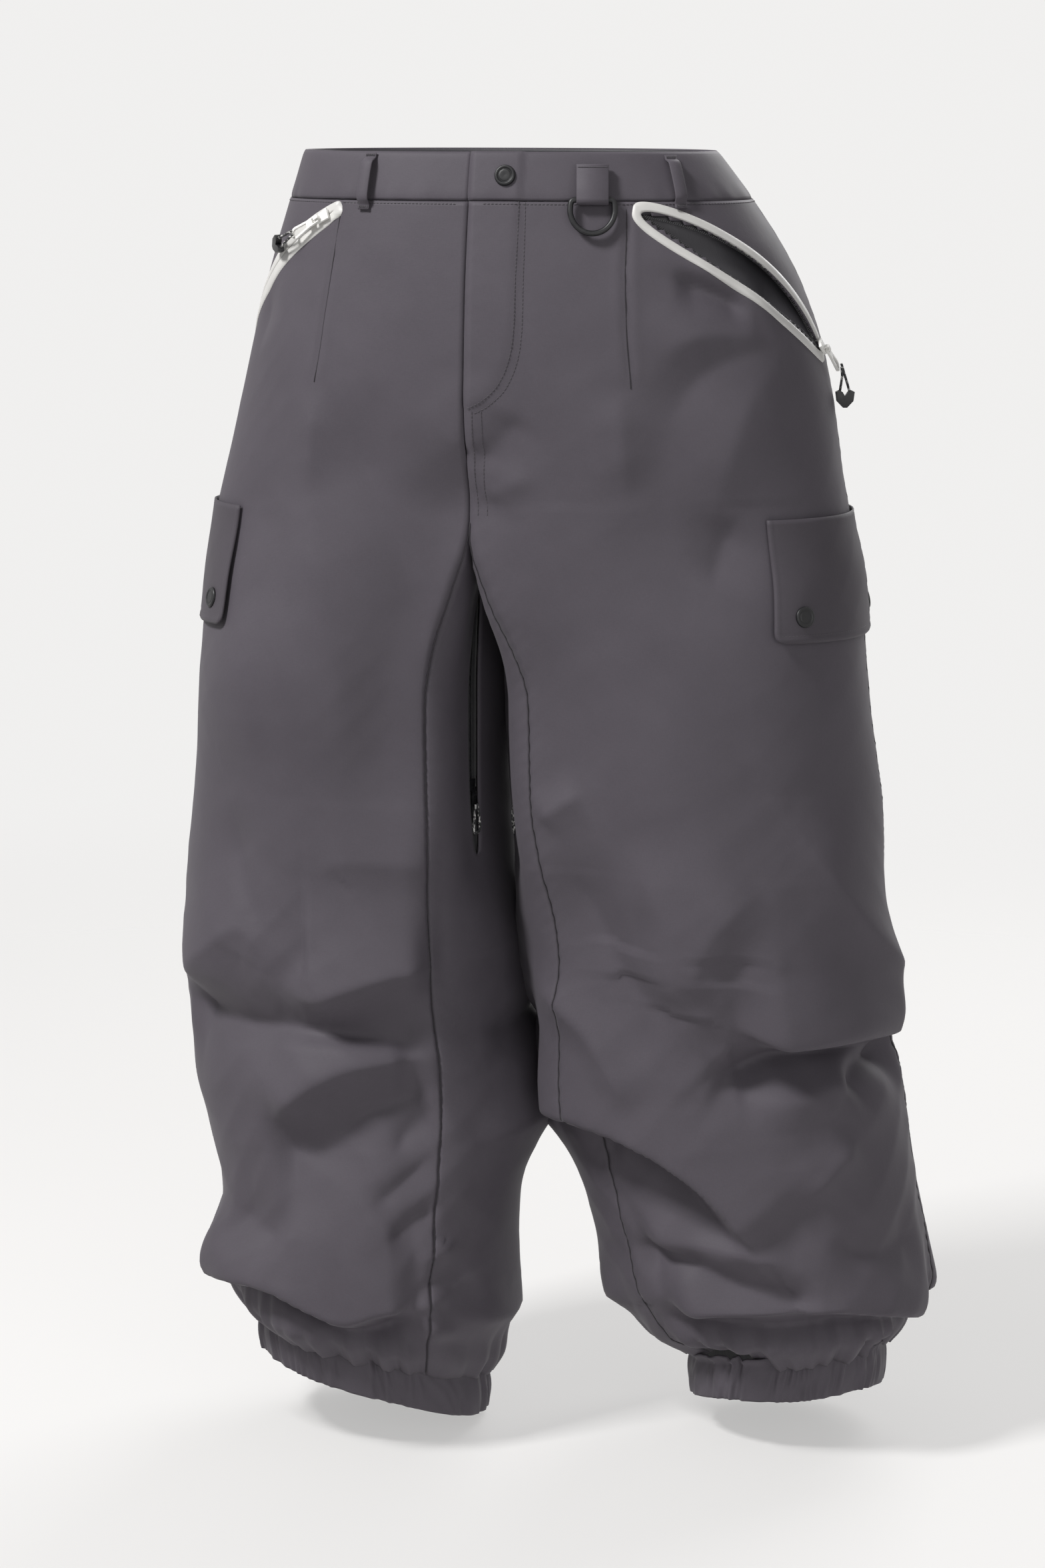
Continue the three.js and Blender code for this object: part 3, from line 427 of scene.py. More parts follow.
def whiteMetalFinish():
    f = Finish("white_enamel")
    place = f.place()
    wear = f.noise(place, 130, 4, 0.65)
    colour = f.between(wear.above(0.66, 0.06), (0.80, 0.79, 0.76, 1), (0.60, 0.59, 0.56, 1))
    coat = {"Coat_Weight": 0.35, "Coat_Roughness": 0.15}
    return f.close(colour, wear * 0.18 + 0.22, f.noise(place, 500, 2), 0.0001, 0.2, **coat)


def cordFinish():
    f = Finish("flecked_cord")
    strands = f.clothPlace((620, 900, 1), 0.7)
    cell = f.cells(strands, 1)
    pick = f.noise(strands, 0.55, 0)
    fleck = pick.above(0.565, 0.02) * (1 - cell.above(0.62, 0.12))
    colour = f.between(fleck, (0.010, 0.010, 0.012, 1), (0.62, 0.61, 0.59, 1))
    return f.close(colour, cell * 0.2 + 0.62, 1 - cell, 0.0002, 0.6, Sheen_Weight=0.1)


def threadFinish():
    f = Finish("thread")
    twist = f.noise(f.place(), 1800, 1)
    colour = f.between(twist, (0.034, 0.030, 0.036, 1), (0.062, 0.055, 0.065, 1))
    return f.close(colour, twist * 0.2 + 0.55, twist, 0.0001, 0.4)


def meshFinish():
    f = Finish("vent_mesh")
    web = f.cells(f.flat(), 520, "DISTANCE_TO_EDGE")
    yarn = 1 - web.above(0.16, 0.05)
    colour = f.between(yarn, (0.002, 0.002, 0.002, 1), (0.030, 0.029, 0.033, 1))
    return f.close(colour, yarn * 0.2 + 0.6, yarn, 0.0004, 0.7)


def elasticFinish():
    f = Finish("cuff_elastic")
    ribs = f.noise(f.clothPlace((520, 14, 1)), 1, 1)
    colour = f.between(ribs, (0.010, 0.010, 0.011, 1), (0.035, 0.034, 0.038, 1))
    return f.close(colour, ribs * 0.2 + 0.6, ribs, 0.001, 0.7)


lining, whiteTape, darkTape, hardware = liningFinish(), whiteTapeFinish(), darkTapeFinish(), hardwareFinish()
whiteMetal, cordLook, thread = whiteMetalFinish(), cordFinish(), threadFinish()
meshLook, elastic = meshFinish(), elasticFinish()
print("finishes made")

# ---- cords ----
# Each loop runs from its puller's eye down and back up to the eye, in the frame's millimetres.
handCord = {
    "diameter": 2.2,
    "right": [
        (-151.8, -89.6, -66.4), (-157.6, -85.7, -70.8), (-162.9, -80.7, -75), (-167.6, -75.3, -78.7),
        (-169.9, -72.2, -78.6), (-171.7, -69.8, -76.3), (-172.1, -69.6, -73.2), (-170.8, -71.5, -70.9),
        (-165.5, -77.7, -68.8), (-159.4, -83.5, -66.4), (-153, -88.2, -63.8),
    ],
    "left": [
        (270.8, 19.2, -168), (272.9, 21.7, -176.5), (275.5, 22.8, -185.3), (277.9, 23, -194.5),
        (276.7, 22.5, -197.8), (273.6, 21.4, -199.1), (270.5, 20.3, -197.8), (269.3, 19.8, -194.5),
        (270.4, 18.8, -186.7), (271.7, 17.9, -178.5), (271.4, 17.2, -170.4),
    ],
}
ventCord = {
    "diameter": 2.2,
    "right": [
        (-12.4, -47.7, -525.6), (-11.5, -46.8, -532), (-11, -45.7, -539), (-10.8, -44.9, -545),
        (-11.2, -46.1, -548.1), (-12.3, -49, -549.4), (-13.3, -52, -548.1), (-13.7, -53.2, -545),
        (-13.5, -52.4, -539), (-13.1, -51.3, -532), (-13.2, -50, -525.6),
    ],
    "left": [
        (16, -39.3, -525.7), (16.3, -40.2, -532), (16.9, -41, -539), (17.4, -41.5, -545),
        (17.1, -40.1, -548.1), (15.9, -37.1, -549.4), (14.7, -34.3, -548.1), (14.1, -33.3, -545),
        (14.1, -34.4, -539), (14.5, -35.8, -532), (15.1, -37, -525.7),
    ],
}


# A braided cord: a tube whose skin rises and falls where two sets of strands cross.
def cordTube(line, diameter):
    around = 20
    run = np.arange(len(line))[:, None] * lengthOf(line) / (len(line) - 1)
    angle = 2 * np.pi * np.arange(around)[None] / around
    braid = np.cos(4 * angle + run * 2.6) * np.cos(4 * angle - run * 2.6)
    points, faces = tube(line, diameter / 2 * (0.955 + 0.045 * braid), around)
    flat = np.stack([np.repeat(run[:, 0], around), np.tile(angle[0] * diameter / 2, len(line))], -1)
    flat = np.vstack([flat, flat[:1], flat[-1:]])
    return points, faces, flat


cords, cordLines = {}, {}
for kind, sizes in (("hand_pocket", handCord), ("vent", ventCord)):
    for side in sides:
        line = smoothLine(sizes[side], 260)
        points, faces, flat = cordTube(line, sizes["diameter"])
        name = f"{kind}_cord_{side}"
        piece = turnOut(makePiece(f"{name}_braid", points, faces, [cordLook], flat))
        settle(piece, f"{kind}_puller_{side}", "cord", name)
        cords[name], cordLines[name] = piece, line
print("cords made")

# ---- the cloth of the legs ----
# A leg's sections down its length: how far each reaches from the middle plane (inner, outer) and
# from the side plane (front, back). "at" is 0 at the rim, 1 at the fork and 2 at the cuff.
cut = {
    "rise": 285, "outseam": 990, "corner": 0.27 * math.pi, "rounding": 150, "dip": 20, "dipReach": 48,
    "squareness": 0.88, "frontSeam": 0.1, "sideSeam": 0.53, "backSeam": 0.9, "girth": 850,
    "cuffLean": {"right": (-0.25, -0.16), "left": (0.1, -0.12)},
    "waistbandHeight": 38, "seamGap": 0.6, "cuffHeight": 32,
}
sections = {
    "right": [
        (0, 0, 165, 102, 102), (0.13, 0, 176, 112, 114), (0.33, 0, 194, 121, 129), (0.57, 0, 211, 127, 140),
        (1, 0, 240, 130, 130), (1.08, 6, 248, 130, 128), (1.33, 7, 264, 126, 123), (1.52, -4, 272, 128, 118),
        (1.67, -19, 262, 136, 110), (1.81, -12, 233, 148, 90), (1.91, -3, 243, 148, 88),
        (1.97, 2, 222, 142, 82),
        (2, 12, 204, 122, 62),
    ],
    "left": [
        (0, 0, 170, 102, 102), (0.13, 0, 198, 112, 114), (0.33, 0, 234, 122, 129), (0.57, 0, 259, 128, 140),
        (1, 0, 281, 130, 134), (1.08, 6, 290, 127, 134), (1.33, 8, 306, 116, 134), (1.52, 20, 304, 106, 142),
        (1.67, 32, 323, 88, 156), (1.81, 62, 340, 80, 156), (1.91, 85, 341, 78, 156),
        (1.97, 116, 332, 70, 146),
        (2, 152, 314, 48, 122),
    ],
}
signs = {"right": -1, "left": 1}


def power(v, p):
    return np.sign(v) * np.abs(v) ** p


# A smooth curve through the sections' values: cubic between knots, with slopes from the neighbours.
def sectionAt(side, drop):
    rows = np.array(sections[side], float)
    knots, values = rows[:, 0], rows[:, 1:]
    rise, outseam = cut["rise"], cut["outseam"]
    at = np.where(drop <= rise, drop / rise, 1 + (drop - rise) / (outseam - rise))
    i = np.clip(np.searchsorted(knots[1:], at), 0, len(knots) - 2)
    span = (knots[i + 1] - knots[i])[..., None]
    t = np.minimum(1, (at - knots[i])[..., None] / span)
    low = np.maximum(0, np.arange(len(knots)) - 1)
    high = np.minimum(len(knots) - 1, np.arange(len(knots)) + 1)
    slope = (values[high] - values[low]) / (knots[high] - knots[low])[:, None]
    curve = values[i] * (1 + 2 * t) * (1 - t) ** 2 + values[i + 1] * t * t * (3 - 2 * t)
    curve = curve + slope[i] * span * t * (1 - t) ** 2 - slope[i + 1] * span * t * t * (1 - t)
    return [curve[..., k] for k in range(4)]


# The smooth outer face: "share" goes round a leg from the inner thigh over the front, and "drop" is
# the distance below the rim. The hips are a rounded box cut at the middle plane, the legs a rounded oval,
# and one turns into the other below the fork.
def bareLeg(side, share, drop):
    share, drop = np.broadcast_arrays(np.asarray(share, float) % 1.0, np.asarray(drop, float))
    inner, outer, front, behind = sectionAt(side, drop)
    frontSeam, backSeam, square = cut["frontSeam"], cut["backSeam"], cut["squareness"]
    blendRound = smooth((drop - cut["rise"]) / cut["rounding"])
    along = (share - frontSeam) / (backSeam - frontSeam)
    width = outer - inner
    theta = np.pi * np.clip(along, 0, 1)
    c = power(np.cos(theta), square)
    hipX = inner + width * np.maximum(0, np.sin(theta)) ** square
    hipY = np.where(c > 0, -front * c, -behind * c)
    corner = cut["corner"]
    angle = corner + (2 * np.pi - 2 * corner) * along
    before, after = share < frontSeam, share > backSeam
    nearFront, nearBack = share / frontSeam, (1 - share) / frontSeam
    hipX = np.where(before | after, inner, hipX)
    hipY = np.where(before, -front * nearFront, np.where(after, behind * nearBack, hipY))
    angle = np.where(after, 2 * np.pi - corner * nearBack, angle)
    angle = np.where(before, corner * nearFront, angle)
    dip = cut["dip"] * smooth((drop - 0.6 * cut["rise"]) / (0.4 * cut["rise"]))
    hipY = hipY * (1 - (dip / front) * np.exp(-(((hipX - inner) / cut["dipReach"]) ** 2)))
    legX = inner + width / 2 - (width / 2) * power(np.cos(angle), square + 0.05)
    legY = (behind - front) / 2 - ((front + behind) / 2) * power(np.sin(angle), square + 0.05)
    x = signs[side] * mix(hipX, legX, blendRound)
    y = mix(hipY, legY, blendRound)
    lean = smooth((drop - 0.84 * cut["outseam"]) / (0.16 * cut["outseam"]))
    middleX, middleY = signs[side] * (inner + outer) / 2, (behind - front) / 2
    leanX, leanY = cut["cuffLean"][side]
    return np.stack([x, y, -drop + lean * (leanX * (x - middleX) + leanY * (y - middleY))], -1)


# Point, outward normal, directions round and down, and millimetres per share on the smooth face.
def legFrame(side, share, drop):
    share, drop = np.broadcast_arrays(np.asarray(share, float), np.asarray(drop, float))
    around = bareLeg(side, share + 0.002, drop) - bareLeg(side, share - 0.002, drop)
    down = bareLeg(side, share, drop + 1) - bareLeg(side, share, np.maximum(0, drop - 1))
    normal = unit(np.cross(down, around) * signs[side])
    perShare = np.linalg.norm(around, axis=-1) / 0.004
    return bareLeg(side, share, drop), normal, unit(around), unit(down), perShare


# The share at which the front stands x from the middle.
def shareAtX(side, x, drop):
    shares = np.linspace(0.1, 0.45, 200)
    return float(np.interp(abs(x), np.abs(bareLeg(side, shares, drop)[:, 0]), shares))


def lineFromX(side, places):
    return [(shareAtX(side, x, drop), drop) for x, drop in places]


pocket = {
    "top": (0.267, 48), "end": (0.498, 156), "bow": 9, "gape": {"right": 2.5, "left": 15}, "tape": 7.5,
}
vent = {"top": 352, "end": 566, "share": 0.042, "gape": 5.5, "zipGape": 2.5, "tape": 7}
flapCut = {"top": 284, "height": 96, "front": 0.338, "back": 0.6, "lift": 2.0, "mouthDrop": 298}


def pocketLine(a):
    share = mix(pocket["top"][0], pocket["end"][0], a)
    drop = mix(pocket["top"][1], pocket["end"][1], a) - pocket["bow"] * np.sin(np.pi * a)
    return np.stack([share, drop], -1)


def ventLine(a):
    return np.stack([np.full_like(a, vent["share"]), mix(vent["top"], vent["end"], a)], -1)


def mouthLine(a):
    share = mix(flapCut["front"] + 0.02, cut["sideSeam"] - 0.012, a)
    return np.stack([share, np.full_like(a, flapCut["mouthDrop"])], -1)


# Places beside a line on the cloth: stepped off square to it by a distance in millimetres.
def besideLine(side, line, a, distance):
    here, ahead = line(a), line(a + 0.01)
    perShare = legFrame(side, here[..., 0], here[..., 1])[4]
    run = np.stack([(ahead[..., 0] - here[..., 0]) * perShare, ahead[..., 1] - here[..., 1]], -1)
    run = unit(run)
    return here[..., 0] + run[..., 1] * distance / perShare, here[..., 1] - run[..., 0] * distance


# Distance over the cloth from each place to the nearest point of a line of (share, drop), with the
# sign of the side (positive below it) and how far along that point lies, from 0 to 1.
def fromLine(share, drop, line, reach):
    line = np.asarray(line, float)
    middle = line[:, 0].mean()
    near = middle + (share - middle + 0.5) % 1.0 - 0.5
    p = np.stack([near * cut["girth"], drop], -1)
    q = line * (cut["girth"], 1)
    low, high = q.min(0) - reach, q.max(0) + reach
    inside = np.all((p > low) & (p < high), -1)
    distance = np.full(share.shape, 1e4)
    along = np.zeros(share.shape)
    if inside.any():
        points = p[inside]
        a, b = q[:-1], q[1:]
        ab = b - a
        t = np.clip(np.einsum("nsk,sk->ns", points[:, None] - a[None], ab) / np.sum(ab * ab, -1), 0, 1)
        gap = points[:, None] - (a[None] + t[..., None] * ab[None])
        d = np.linalg.norm(gap, axis=-1)
        best = d.argmin(1)
        row = np.arange(len(points))
        forward = ab[best] * np.where(ab[best][:, :1] >= 0, 1, -1)
        turned = forward[:, 0] * gap[row, best][:, 1] - forward[:, 1] * gap[row, best][:, 0]
        distance[inside] = d[row, best] * np.where(turned >= 0, 1, -1)
        run = distances(q)
        along[inside] = (run[best] + t[row, best] * np.diff(run)[best]) / run[-1]
    return distance, along, inside


# Folds: a line of (share, drop), then height, width above, width below, roundness of the crest, how far
# the crest hangs over downwards for its height, and the share of the length over which the ends fade.
legFolds = {
    "right": [
        # soft valley from hip
        ([(0.21, 175), (0.177, 260), (0.126, 342), (0.081, 420)], (-7, 34, 30, 14, 0, 0.3)),
        # ridge beside it
        ([(0.264, 202), (0.228, 300), (0.195, 405), (0.183, 500)], (4, 45, 40, 18, 0, 0.4)),
        # dart pull
        ([(0.246, 182), (0.243, 225), (0.234, 275)], (3, 14, 14, 6, 0, 0.4)),
        # outer long valley
        ([(0.33, 518), (0.3, 578), (0.255, 648)], (-5, 22, 30, 9, 0, 0.35)),
        # mid dent upper edge
        ([(0.207, 585), (0.195, 565), (0.141, 565), (0.084, 568)], (3.5, 30, 16, 7, 0, 0.3)),
        # knee ridge outer
        ([(0.438, 690), (0.357, 652), (0.3, 622), (0.273, 635), (0.243, 660)], (6, 34, 18, 7, 0.2, 0.3)),
        # knee ridge inner
        ([(0.249, 662), (0.222, 670), (0.189, 660), (0.141, 648), (0.087, 648)], (12, 40, 20, 7, 0.35, 0.25)),
        # knee valley
        ([(0.438, 700), (0.312, 705), (0.234, 702), (0.18, 705), (0.099, 718)], (-13, 20, 26, 6, 0, 0.12)),
        # knee crest low
        ([(0.282, 720), (0.225, 715), (0.165, 715), (0.099, 720)], (6, 10, 26, 5, 0, 0.3)),
        # second ridge
        ([(0.288, 788), (0.252, 758), (0.207, 732), (0.15, 722), (0.099, 722)], (8, 26, 16, 5, 0.3, 0.25)),
        # second valley
        ([(0.297, 805), (0.234, 798), (0.189, 772), (0.138, 758), (0.102, 748)], (-10, 24, 34, 7, 0, 0.15)),
        # outline notch low
        ([(0.369, 858), (0.315, 870), (0.264, 882)], (-6, 26, 26, 8, 0, 0.3)),
        # crumple a
        ([(0.186, 848), (0.156, 832), (0.12, 812), (0.102, 802)], (-3.5, 9, 13, 4, 0, 0.3)),
        # crumple b
        ([(0.156, 805), (0.132, 780), (0.105, 762)], (-3, 9, 12, 4, 0, 0.3)),
        # crumple c
        ([(0.162, 872), (0.126, 855), (0.093, 848)], (-4, 9, 14, 4, 0, 0.3)),
        # crumple d
        ([(0.12, 890), (0.087, 878), (0.084, 872)], (3, 10, 10, 4, 0, 0.3)),
        # overhang edge
        ([(0.42, 935), (0.324, 925), (0.273, 922), (0.231, 932), (0.201, 938), (0.159, 922), (0.111, 912)],
         (10, 44, 12, 5, 0.6, 0.12)),
        # overhang valley
        ([(0.408, 942), (0.342, 948), (0.279, 940), (0.237, 955), (0.201, 958), (0.144, 945), (0.102, 928)],
         (-10, 10, 16, 6, 0.2, 0.14)),
        # lower roll
        ([(0.402, 968), (0.324, 972), (0.228, 972), (0.168, 968), (0.105, 960)], (6, 16, 20, 8, 0.5, 0.2)),
        # roll end
        ([(0.114, 910), (0.096, 935), (0.093, 958)], (7, 20, 20, 7, 0, 0.3)),
        # pocket end pull
        ([(0.435, 88), (0.387, 118), (0.378, 162)], (-3, 20, 22, 9, 0, 0.4)),
        # thigh soft
        ([(0.33, 355), (0.291, 440), (0.297, 512)], (3.5, 50, 50, 20, 0, 0.4)),
    ],
    "left": [
        # under pocket crease
        ([(0.273, 95), (0.315, 105), (0.366, 122)], (-6, 10, 14, 4, 0, 0.3)),
        # under pocket roll
        ([(0.276, 82), (0.318, 92), (0.372, 112), (0.411, 135)], (4, 9, 10, 4, 0, 0.3)),
        # pocket ray a
        ([(0.384, 145), (0.324, 140), (0.273, 145), (0.243, 165)], (3.5, 16, 20, 6, 0, 0.35)),
        # pocket ray b
        ([(0.387, 152), (0.318, 160), (0.273, 182), (0.246, 220)], (-4, 20, 24, 9, 0, 0.35)),
        # pocket ray c
        ([(0.399, 155), (0.339, 190), (0.3, 245), (0.276, 305)], (3.5, 30, 34, 14, 0, 0.4)),
        # thigh turn
        ([(0.252, 182), (0.24, 268), (0.255, 352), (0.291, 425), (0.327, 515)], (-4, 70, 60, 26, 0, 0.35)),
        # dart pull
        ([(0.21, 178), (0.21, 220), (0.21, 268)], (3, 14, 14, 6, 0, 0.4)),
        # fork pull a
        ([(0.105, 248), (0.12, 222), (0.138, 202)], (-3, 12, 12, 5, 0, 0.3)),
        # fork pull b
        ([(0.105, 272), (0.126, 258), (0.147, 250)], (3, 16, 16, 7, 0, 0.35)),
        # flap corner
        ([(0.312, 280), (0.291, 305), (0.273, 340)], (-4, 18, 22, 8, 0, 0.35)),
        # inner fold
        ([(0.105, 528), (0.129, 515), (0.156, 500)], (4, 12, 14, 4, 0, 0.3)),
        # soft diagonal valley
        ([(0.111, 548), (0.165, 625), (0.219, 685), (0.252, 710)], (-8, 32, 40, 13, 0, 0.3)),
        # mid bright ridge
        ([(0.195, 530), (0.231, 605), (0.234, 655), (0.252, 705)], (6, 40, 22, 11, 0, 0.35)),
        # patch edge
        ([(0.318, 570), (0.273, 602), (0.252, 635), (0.249, 675)], (6, 34, 24, 7, 0, 0.3)),
        # knee overhang
        ([(0.276, 680), (0.33, 685), (0.402, 688), (0.534, 702)], (15, 55, 13, 5, 0.55, 0.2)),
        # knee valley
        ([(0.249, 712), (0.267, 725), (0.312, 715), (0.369, 712), (0.45, 708), (0.537, 712)],
         (-15, 14, 22, 5, 0, 0.12)),
        # knee low crest
        ([(0.261, 748), (0.315, 748), (0.387, 740), (0.507, 725)], (7, 16, 26, 8, 0, 0.25)),
        # side dent
        ([(0.384, 752), (0.429, 732), (0.519, 725)], (-10, 8, 20, 4, 0, 0.2)),
        # side long ridge
        ([(0.339, 512), (0.384, 560), (0.435, 605), (0.534, 670), (0.537, 705)], (8, 40, 20, 6, 0, 0.3)),
        # plate top
        ([(0.069, 665), (0.132, 690), (0.165, 720), (0.177, 752)], (5, 14, 12, 3.5, 0, 0.25)),
        # long crisp ridge
        ([(0.036, 760), (0.12, 762), (0.174, 775), (0.213, 800), (0.237, 830), (0.261, 868)],
         (15, 60, 14, 4, 0.5, 0.16)),
        # long ridge shadow
        ([(0.078, 780), (0.141, 790), (0.186, 812), (0.216, 840), (0.243, 872)], (-10, 14, 36, 6, 0, 0.2)),
        # soft ridge
        ([(0.393, 785), (0.348, 808), (0.306, 832)], (5, 16, 20, 6, 0, 0.3)),
        # side soft valley
        ([(0.324, 858), (0.384, 882), (0.495, 875)], (-6, 18, 22, 8, 0, 0.3)),
        # bottom ridge
        ([(0.12, 878), (0.192, 868), (0.243, 870), (0.288, 882)], (6, 24, 10, 5, 0.3, 0.25)),
        # bottom valley
        ([(0.108, 888), (0.18, 885), (0.237, 902), (0.315, 910)], (-8, 10, 20, 6, 0, 0.15)),
        # balloon edge
        ([(0.138, 930), (0.195, 922), (0.252, 920), (0.321, 918), (0.396, 930), (0.516, 950)],
         (11, 44, 13, 6, 0.7, 0.14)),
        # balloon valley
        ([(0.114, 950), (0.183, 950), (0.27, 955), (0.372, 952), (0.519, 960)], (-10, 11, 16, 6, 0.2, 0.12)),
        # lower roll
        ([(0.12, 965), (0.198, 970), (0.273, 970), (0.366, 970), (0.504, 972)], (6, 14, 18, 7, 0.4, 0.25)),
        # lower dark wedge
        ([(0.072, 988), (0.165, 988), (0.249, 978)], (-8, 9, 12, 4, 0, 0.3)),
        # lower small
        ([(0.369, 975), (0.486, 988), (0.495, 980)], (-5, 8, 10, 4, 0, 0.3)),
    ],
}
# Folds round the back and between the legs, where the cloth bunches at knee and hem as it does in front.
backFolds = [
    ([(0.62, 250), (0.72, 285), (0.83, 300)], (-6, 18, 24, 8, 0, 0.3)),
    ([(0.6, 300), (0.72, 326), (0.86, 336)], (6, 26, 20, 8, 0, 0.3)),
    ([(0.76, 150), (0.82, 200), (0.87, 255)], (-4, 22, 22, 10, 0, 0.35)),
    ([(0.7, 360), (0.72, 450), (0.7, 560)], (-5, 40, 40, 18, 0, 0.35)),
    ([(0.82, 400), (0.84, 500), (0.8, 600)], (4, 34, 30, 14, 0, 0.35)),
    ([(0.545, 640), (0.64, 655), (0.76, 660), (0.9, 640)], (-8, 14, 18, 6, 0, 0.2)),
    ([(0.56, 665), (0.68, 690), (0.8, 690), (0.93, 672)], (9, 26, 16, 6, 0.3, 0.2)),
    ([(0.54, 705), (0.66, 718), (0.79, 722), (0.94, 700)], (-11, 14, 20, 5, 0, 0.18)),
    ([(0.6, 760), (0.72, 800), (0.85, 815)], (7, 26, 16, 6, 0.3, 0.25)),
    ([(0.58, 800), (0.7, 832), (0.84, 845)], (-8, 14, 22, 6, 0, 0.25)),
    ([(0.72, 850), (0.8, 880), (0.92, 885)], (5, 20, 12, 5, 0.2, 0.3)),
    ([(0.5, 940), (0.66, 925), (0.8, 928), (0.96, 915)], (9, 40, 13, 6, 0.6, 0.12)),
    ([(0.49, 955), (0.66, 950), (0.8, 952), (0.97, 944)], (-9, 11, 15, 6, 0.2, 0.12)),
    ([(0.5, 972), (0.7, 968), (0.85, 970), (0.98, 962)], (5, 14, 16, 7, 0.4, 0.2)),
    ([(0.93, 700), (1.0, 712), (1.06, 705)], (-6, 12, 16, 5, 0, 0.3)),
    ([(0.92, 800), (1.0, 790), (1.07, 802)], (5, 18, 14, 5, 0, 0.3)),
    ([(0.93, 925), (1.0, 932), (1.08, 930)], (8, 26, 14, 6, 0.3, 0.3)),
]


# The height of one fold. Across it, a tent with a rounded foot is mixed with an exponential fall whose
# reach differs above and below the line; along it, the height eases in from both ends.
def foldHeight(share, drop, points, form):
    tall, above, below, sharp, _, fade = form
    tall, sharp = tall * crease["tall"], sharp * crease["crisp"]
    line = smoothLine(np.asarray(points) * (cut["girth"], 1), 28) / (cut["girth"], 1)
    distance, along, inside = fromLine(share, drop, line, 3.2 * max(above, below))
    width = np.where(distance > 0, below, above)
    away = (np.sqrt(distance**2 + sharp**2) - sharp) / width
    tent = np.logaddexp(0, crease["foot"] * (1 - away / crease["spread"])) / np.logaddexp(0, crease["foot"])
    rise = crease["flat"] * tent + (1 - crease["flat"]) * np.exp(-away)
    ends = smooth(along / fade) * smooth((1 - along) / fade)
    return np.where(inside, tall * rise * (0.15 + 0.85 * ends), 0)


seams = {
    "at": {"front": cut["frontSeam"], "side": cut["sideSeam"], "back": cut["backSeam"]},
    "groove": 0.55, "width": 2.0, "pucker": 0.4, "puckerReach": 10, "puckerEvery": 13, "leastPucker": 0.35,
}
# Where the thighs press together, where the front laps over towards the middle, and where the front
# dips at the fork: each is a swelling with a height, a place, a reach and a band of drops.
press = {
    "tall": 9.0, "share": {"right": -0.04, "left": -0.005}, "reach": {"right": 44, "left": 30},
    "from": 330, "to": 860, "easeIn": 60, "easeOut": 90, "kneeMore": 0.9, "kneeFrom": 590, "kneeEase": 80,
}
lap = {
    "tall": 17, "share": {"right": 0.088, "left": 0.088}, "reach": {"right": 34, "left": 34},
    "from": 255, "to": 690, "easeIn": 110, "easeOut": 190,
}
fillDip = {"tall": 8, "reach": 42, "from": 165, "to": 285, "easeIn": 60, "easeOut": 70}
crease = {
    "flat": 0.6, "foot": 7, "spread": 1.7, "tall": 1.8, "crisp": 0.35, "swell": 1.6, "crumple": 0.9,
    "crumpleOnHips": 0.25, "gather": 3.6, "gathers": 27,
}
placket = {"width": 40, "depth": 197, "rise": 1.7, "edge": 5}
flyPlaces = [(40, 38), (40, 90), (39.5, 135), (36, 160), (27, 180), (14, 192), (3, 197)]
flyEdge = lineFromX("left", flyPlaces)
darts = {
    "right": [lineFromX("right", [(109, 40), (115, 90), (122, 140), (128, 181)])],
    "left": [lineFromX("left", [(122, 44), (124, 90), (127, 140), (131, 181)])],
}
dartCut = {"deep": 1.1, "width": 2.6, "shoulder": 0.7, "shoulderAt": 6, "shoulderWidth": 5, "fade": 0.12}
# Lines that folds keep away from: height kept off, reach and how far to look. Snaps sit on short ones.
snapInset = 0.035
mouthOfPocket = pocketLine(np.linspace(-0.02, 1.02, 12))
calm = {"right": [mouthOfPocket], "left": [np.vstack([mouthOfPocket, [(0.505, 172), (0.512, 205)]])]}
ventSlit = [(vent["share"], vent["top"]), (vent["share"], vent["end"])]
chance = np.random.default_rng(7)
swells = [(chance.uniform(-1, 1), chance.uniform(-1, 1), chance.uniform(0, 6.28)) for _ in range(14)]


# How much relief is left near a line: it falls by "hold" on the line like a bell of the given reach.
def leftNear(line, hold, reach, share, drop, look=70):
    distance, _, _ = fromLine(share, drop, line, look)
    return 1 - hold * bell(distance, 0, reach)


# Slow swells: sines round and down the leg with chosen phases, weaker the finer they are.
def swellsAt(turn, drop):
    total = 0
    for k, (a, b, phase) in enumerate(swells):
        rounds, downs = 1 + (k % 7), 0.008 + 0.006 * (k % 5)
        wave = np.sin(rounds * turn + a * 3 + b * drop * 0.01 + phase) * np.sin(drop * downs + phase * 2)
        total = total + wave / (1 + 0.35 * rounds)
    return crease["swell"] * total * smooth((drop - 150) / 200)


# Small crisp creases, strongest below the knee: minus |sin| of two slanting waves that cross.
def crumplesAt(turn, drop):
    rising = 5 * turn + 0.062 * drop + 1.5 * np.sin(3 * turn + 0.012 * drop)
    falling = 6 * turn - 0.078 * drop + 1.7 * np.sin(4 * turn - 0.01 * drop)
    vary = 0.6 + 0.4 * np.sin(5 * turn + 0.02 * drop)
    rough = mix(crease["crumpleOnHips"], 1, smooth((drop - 540) / 160))
    return crease["crumple"] * rough * (1.2 - np.abs(np.sin(rising)) - np.abs(np.sin(falling)) * vary)


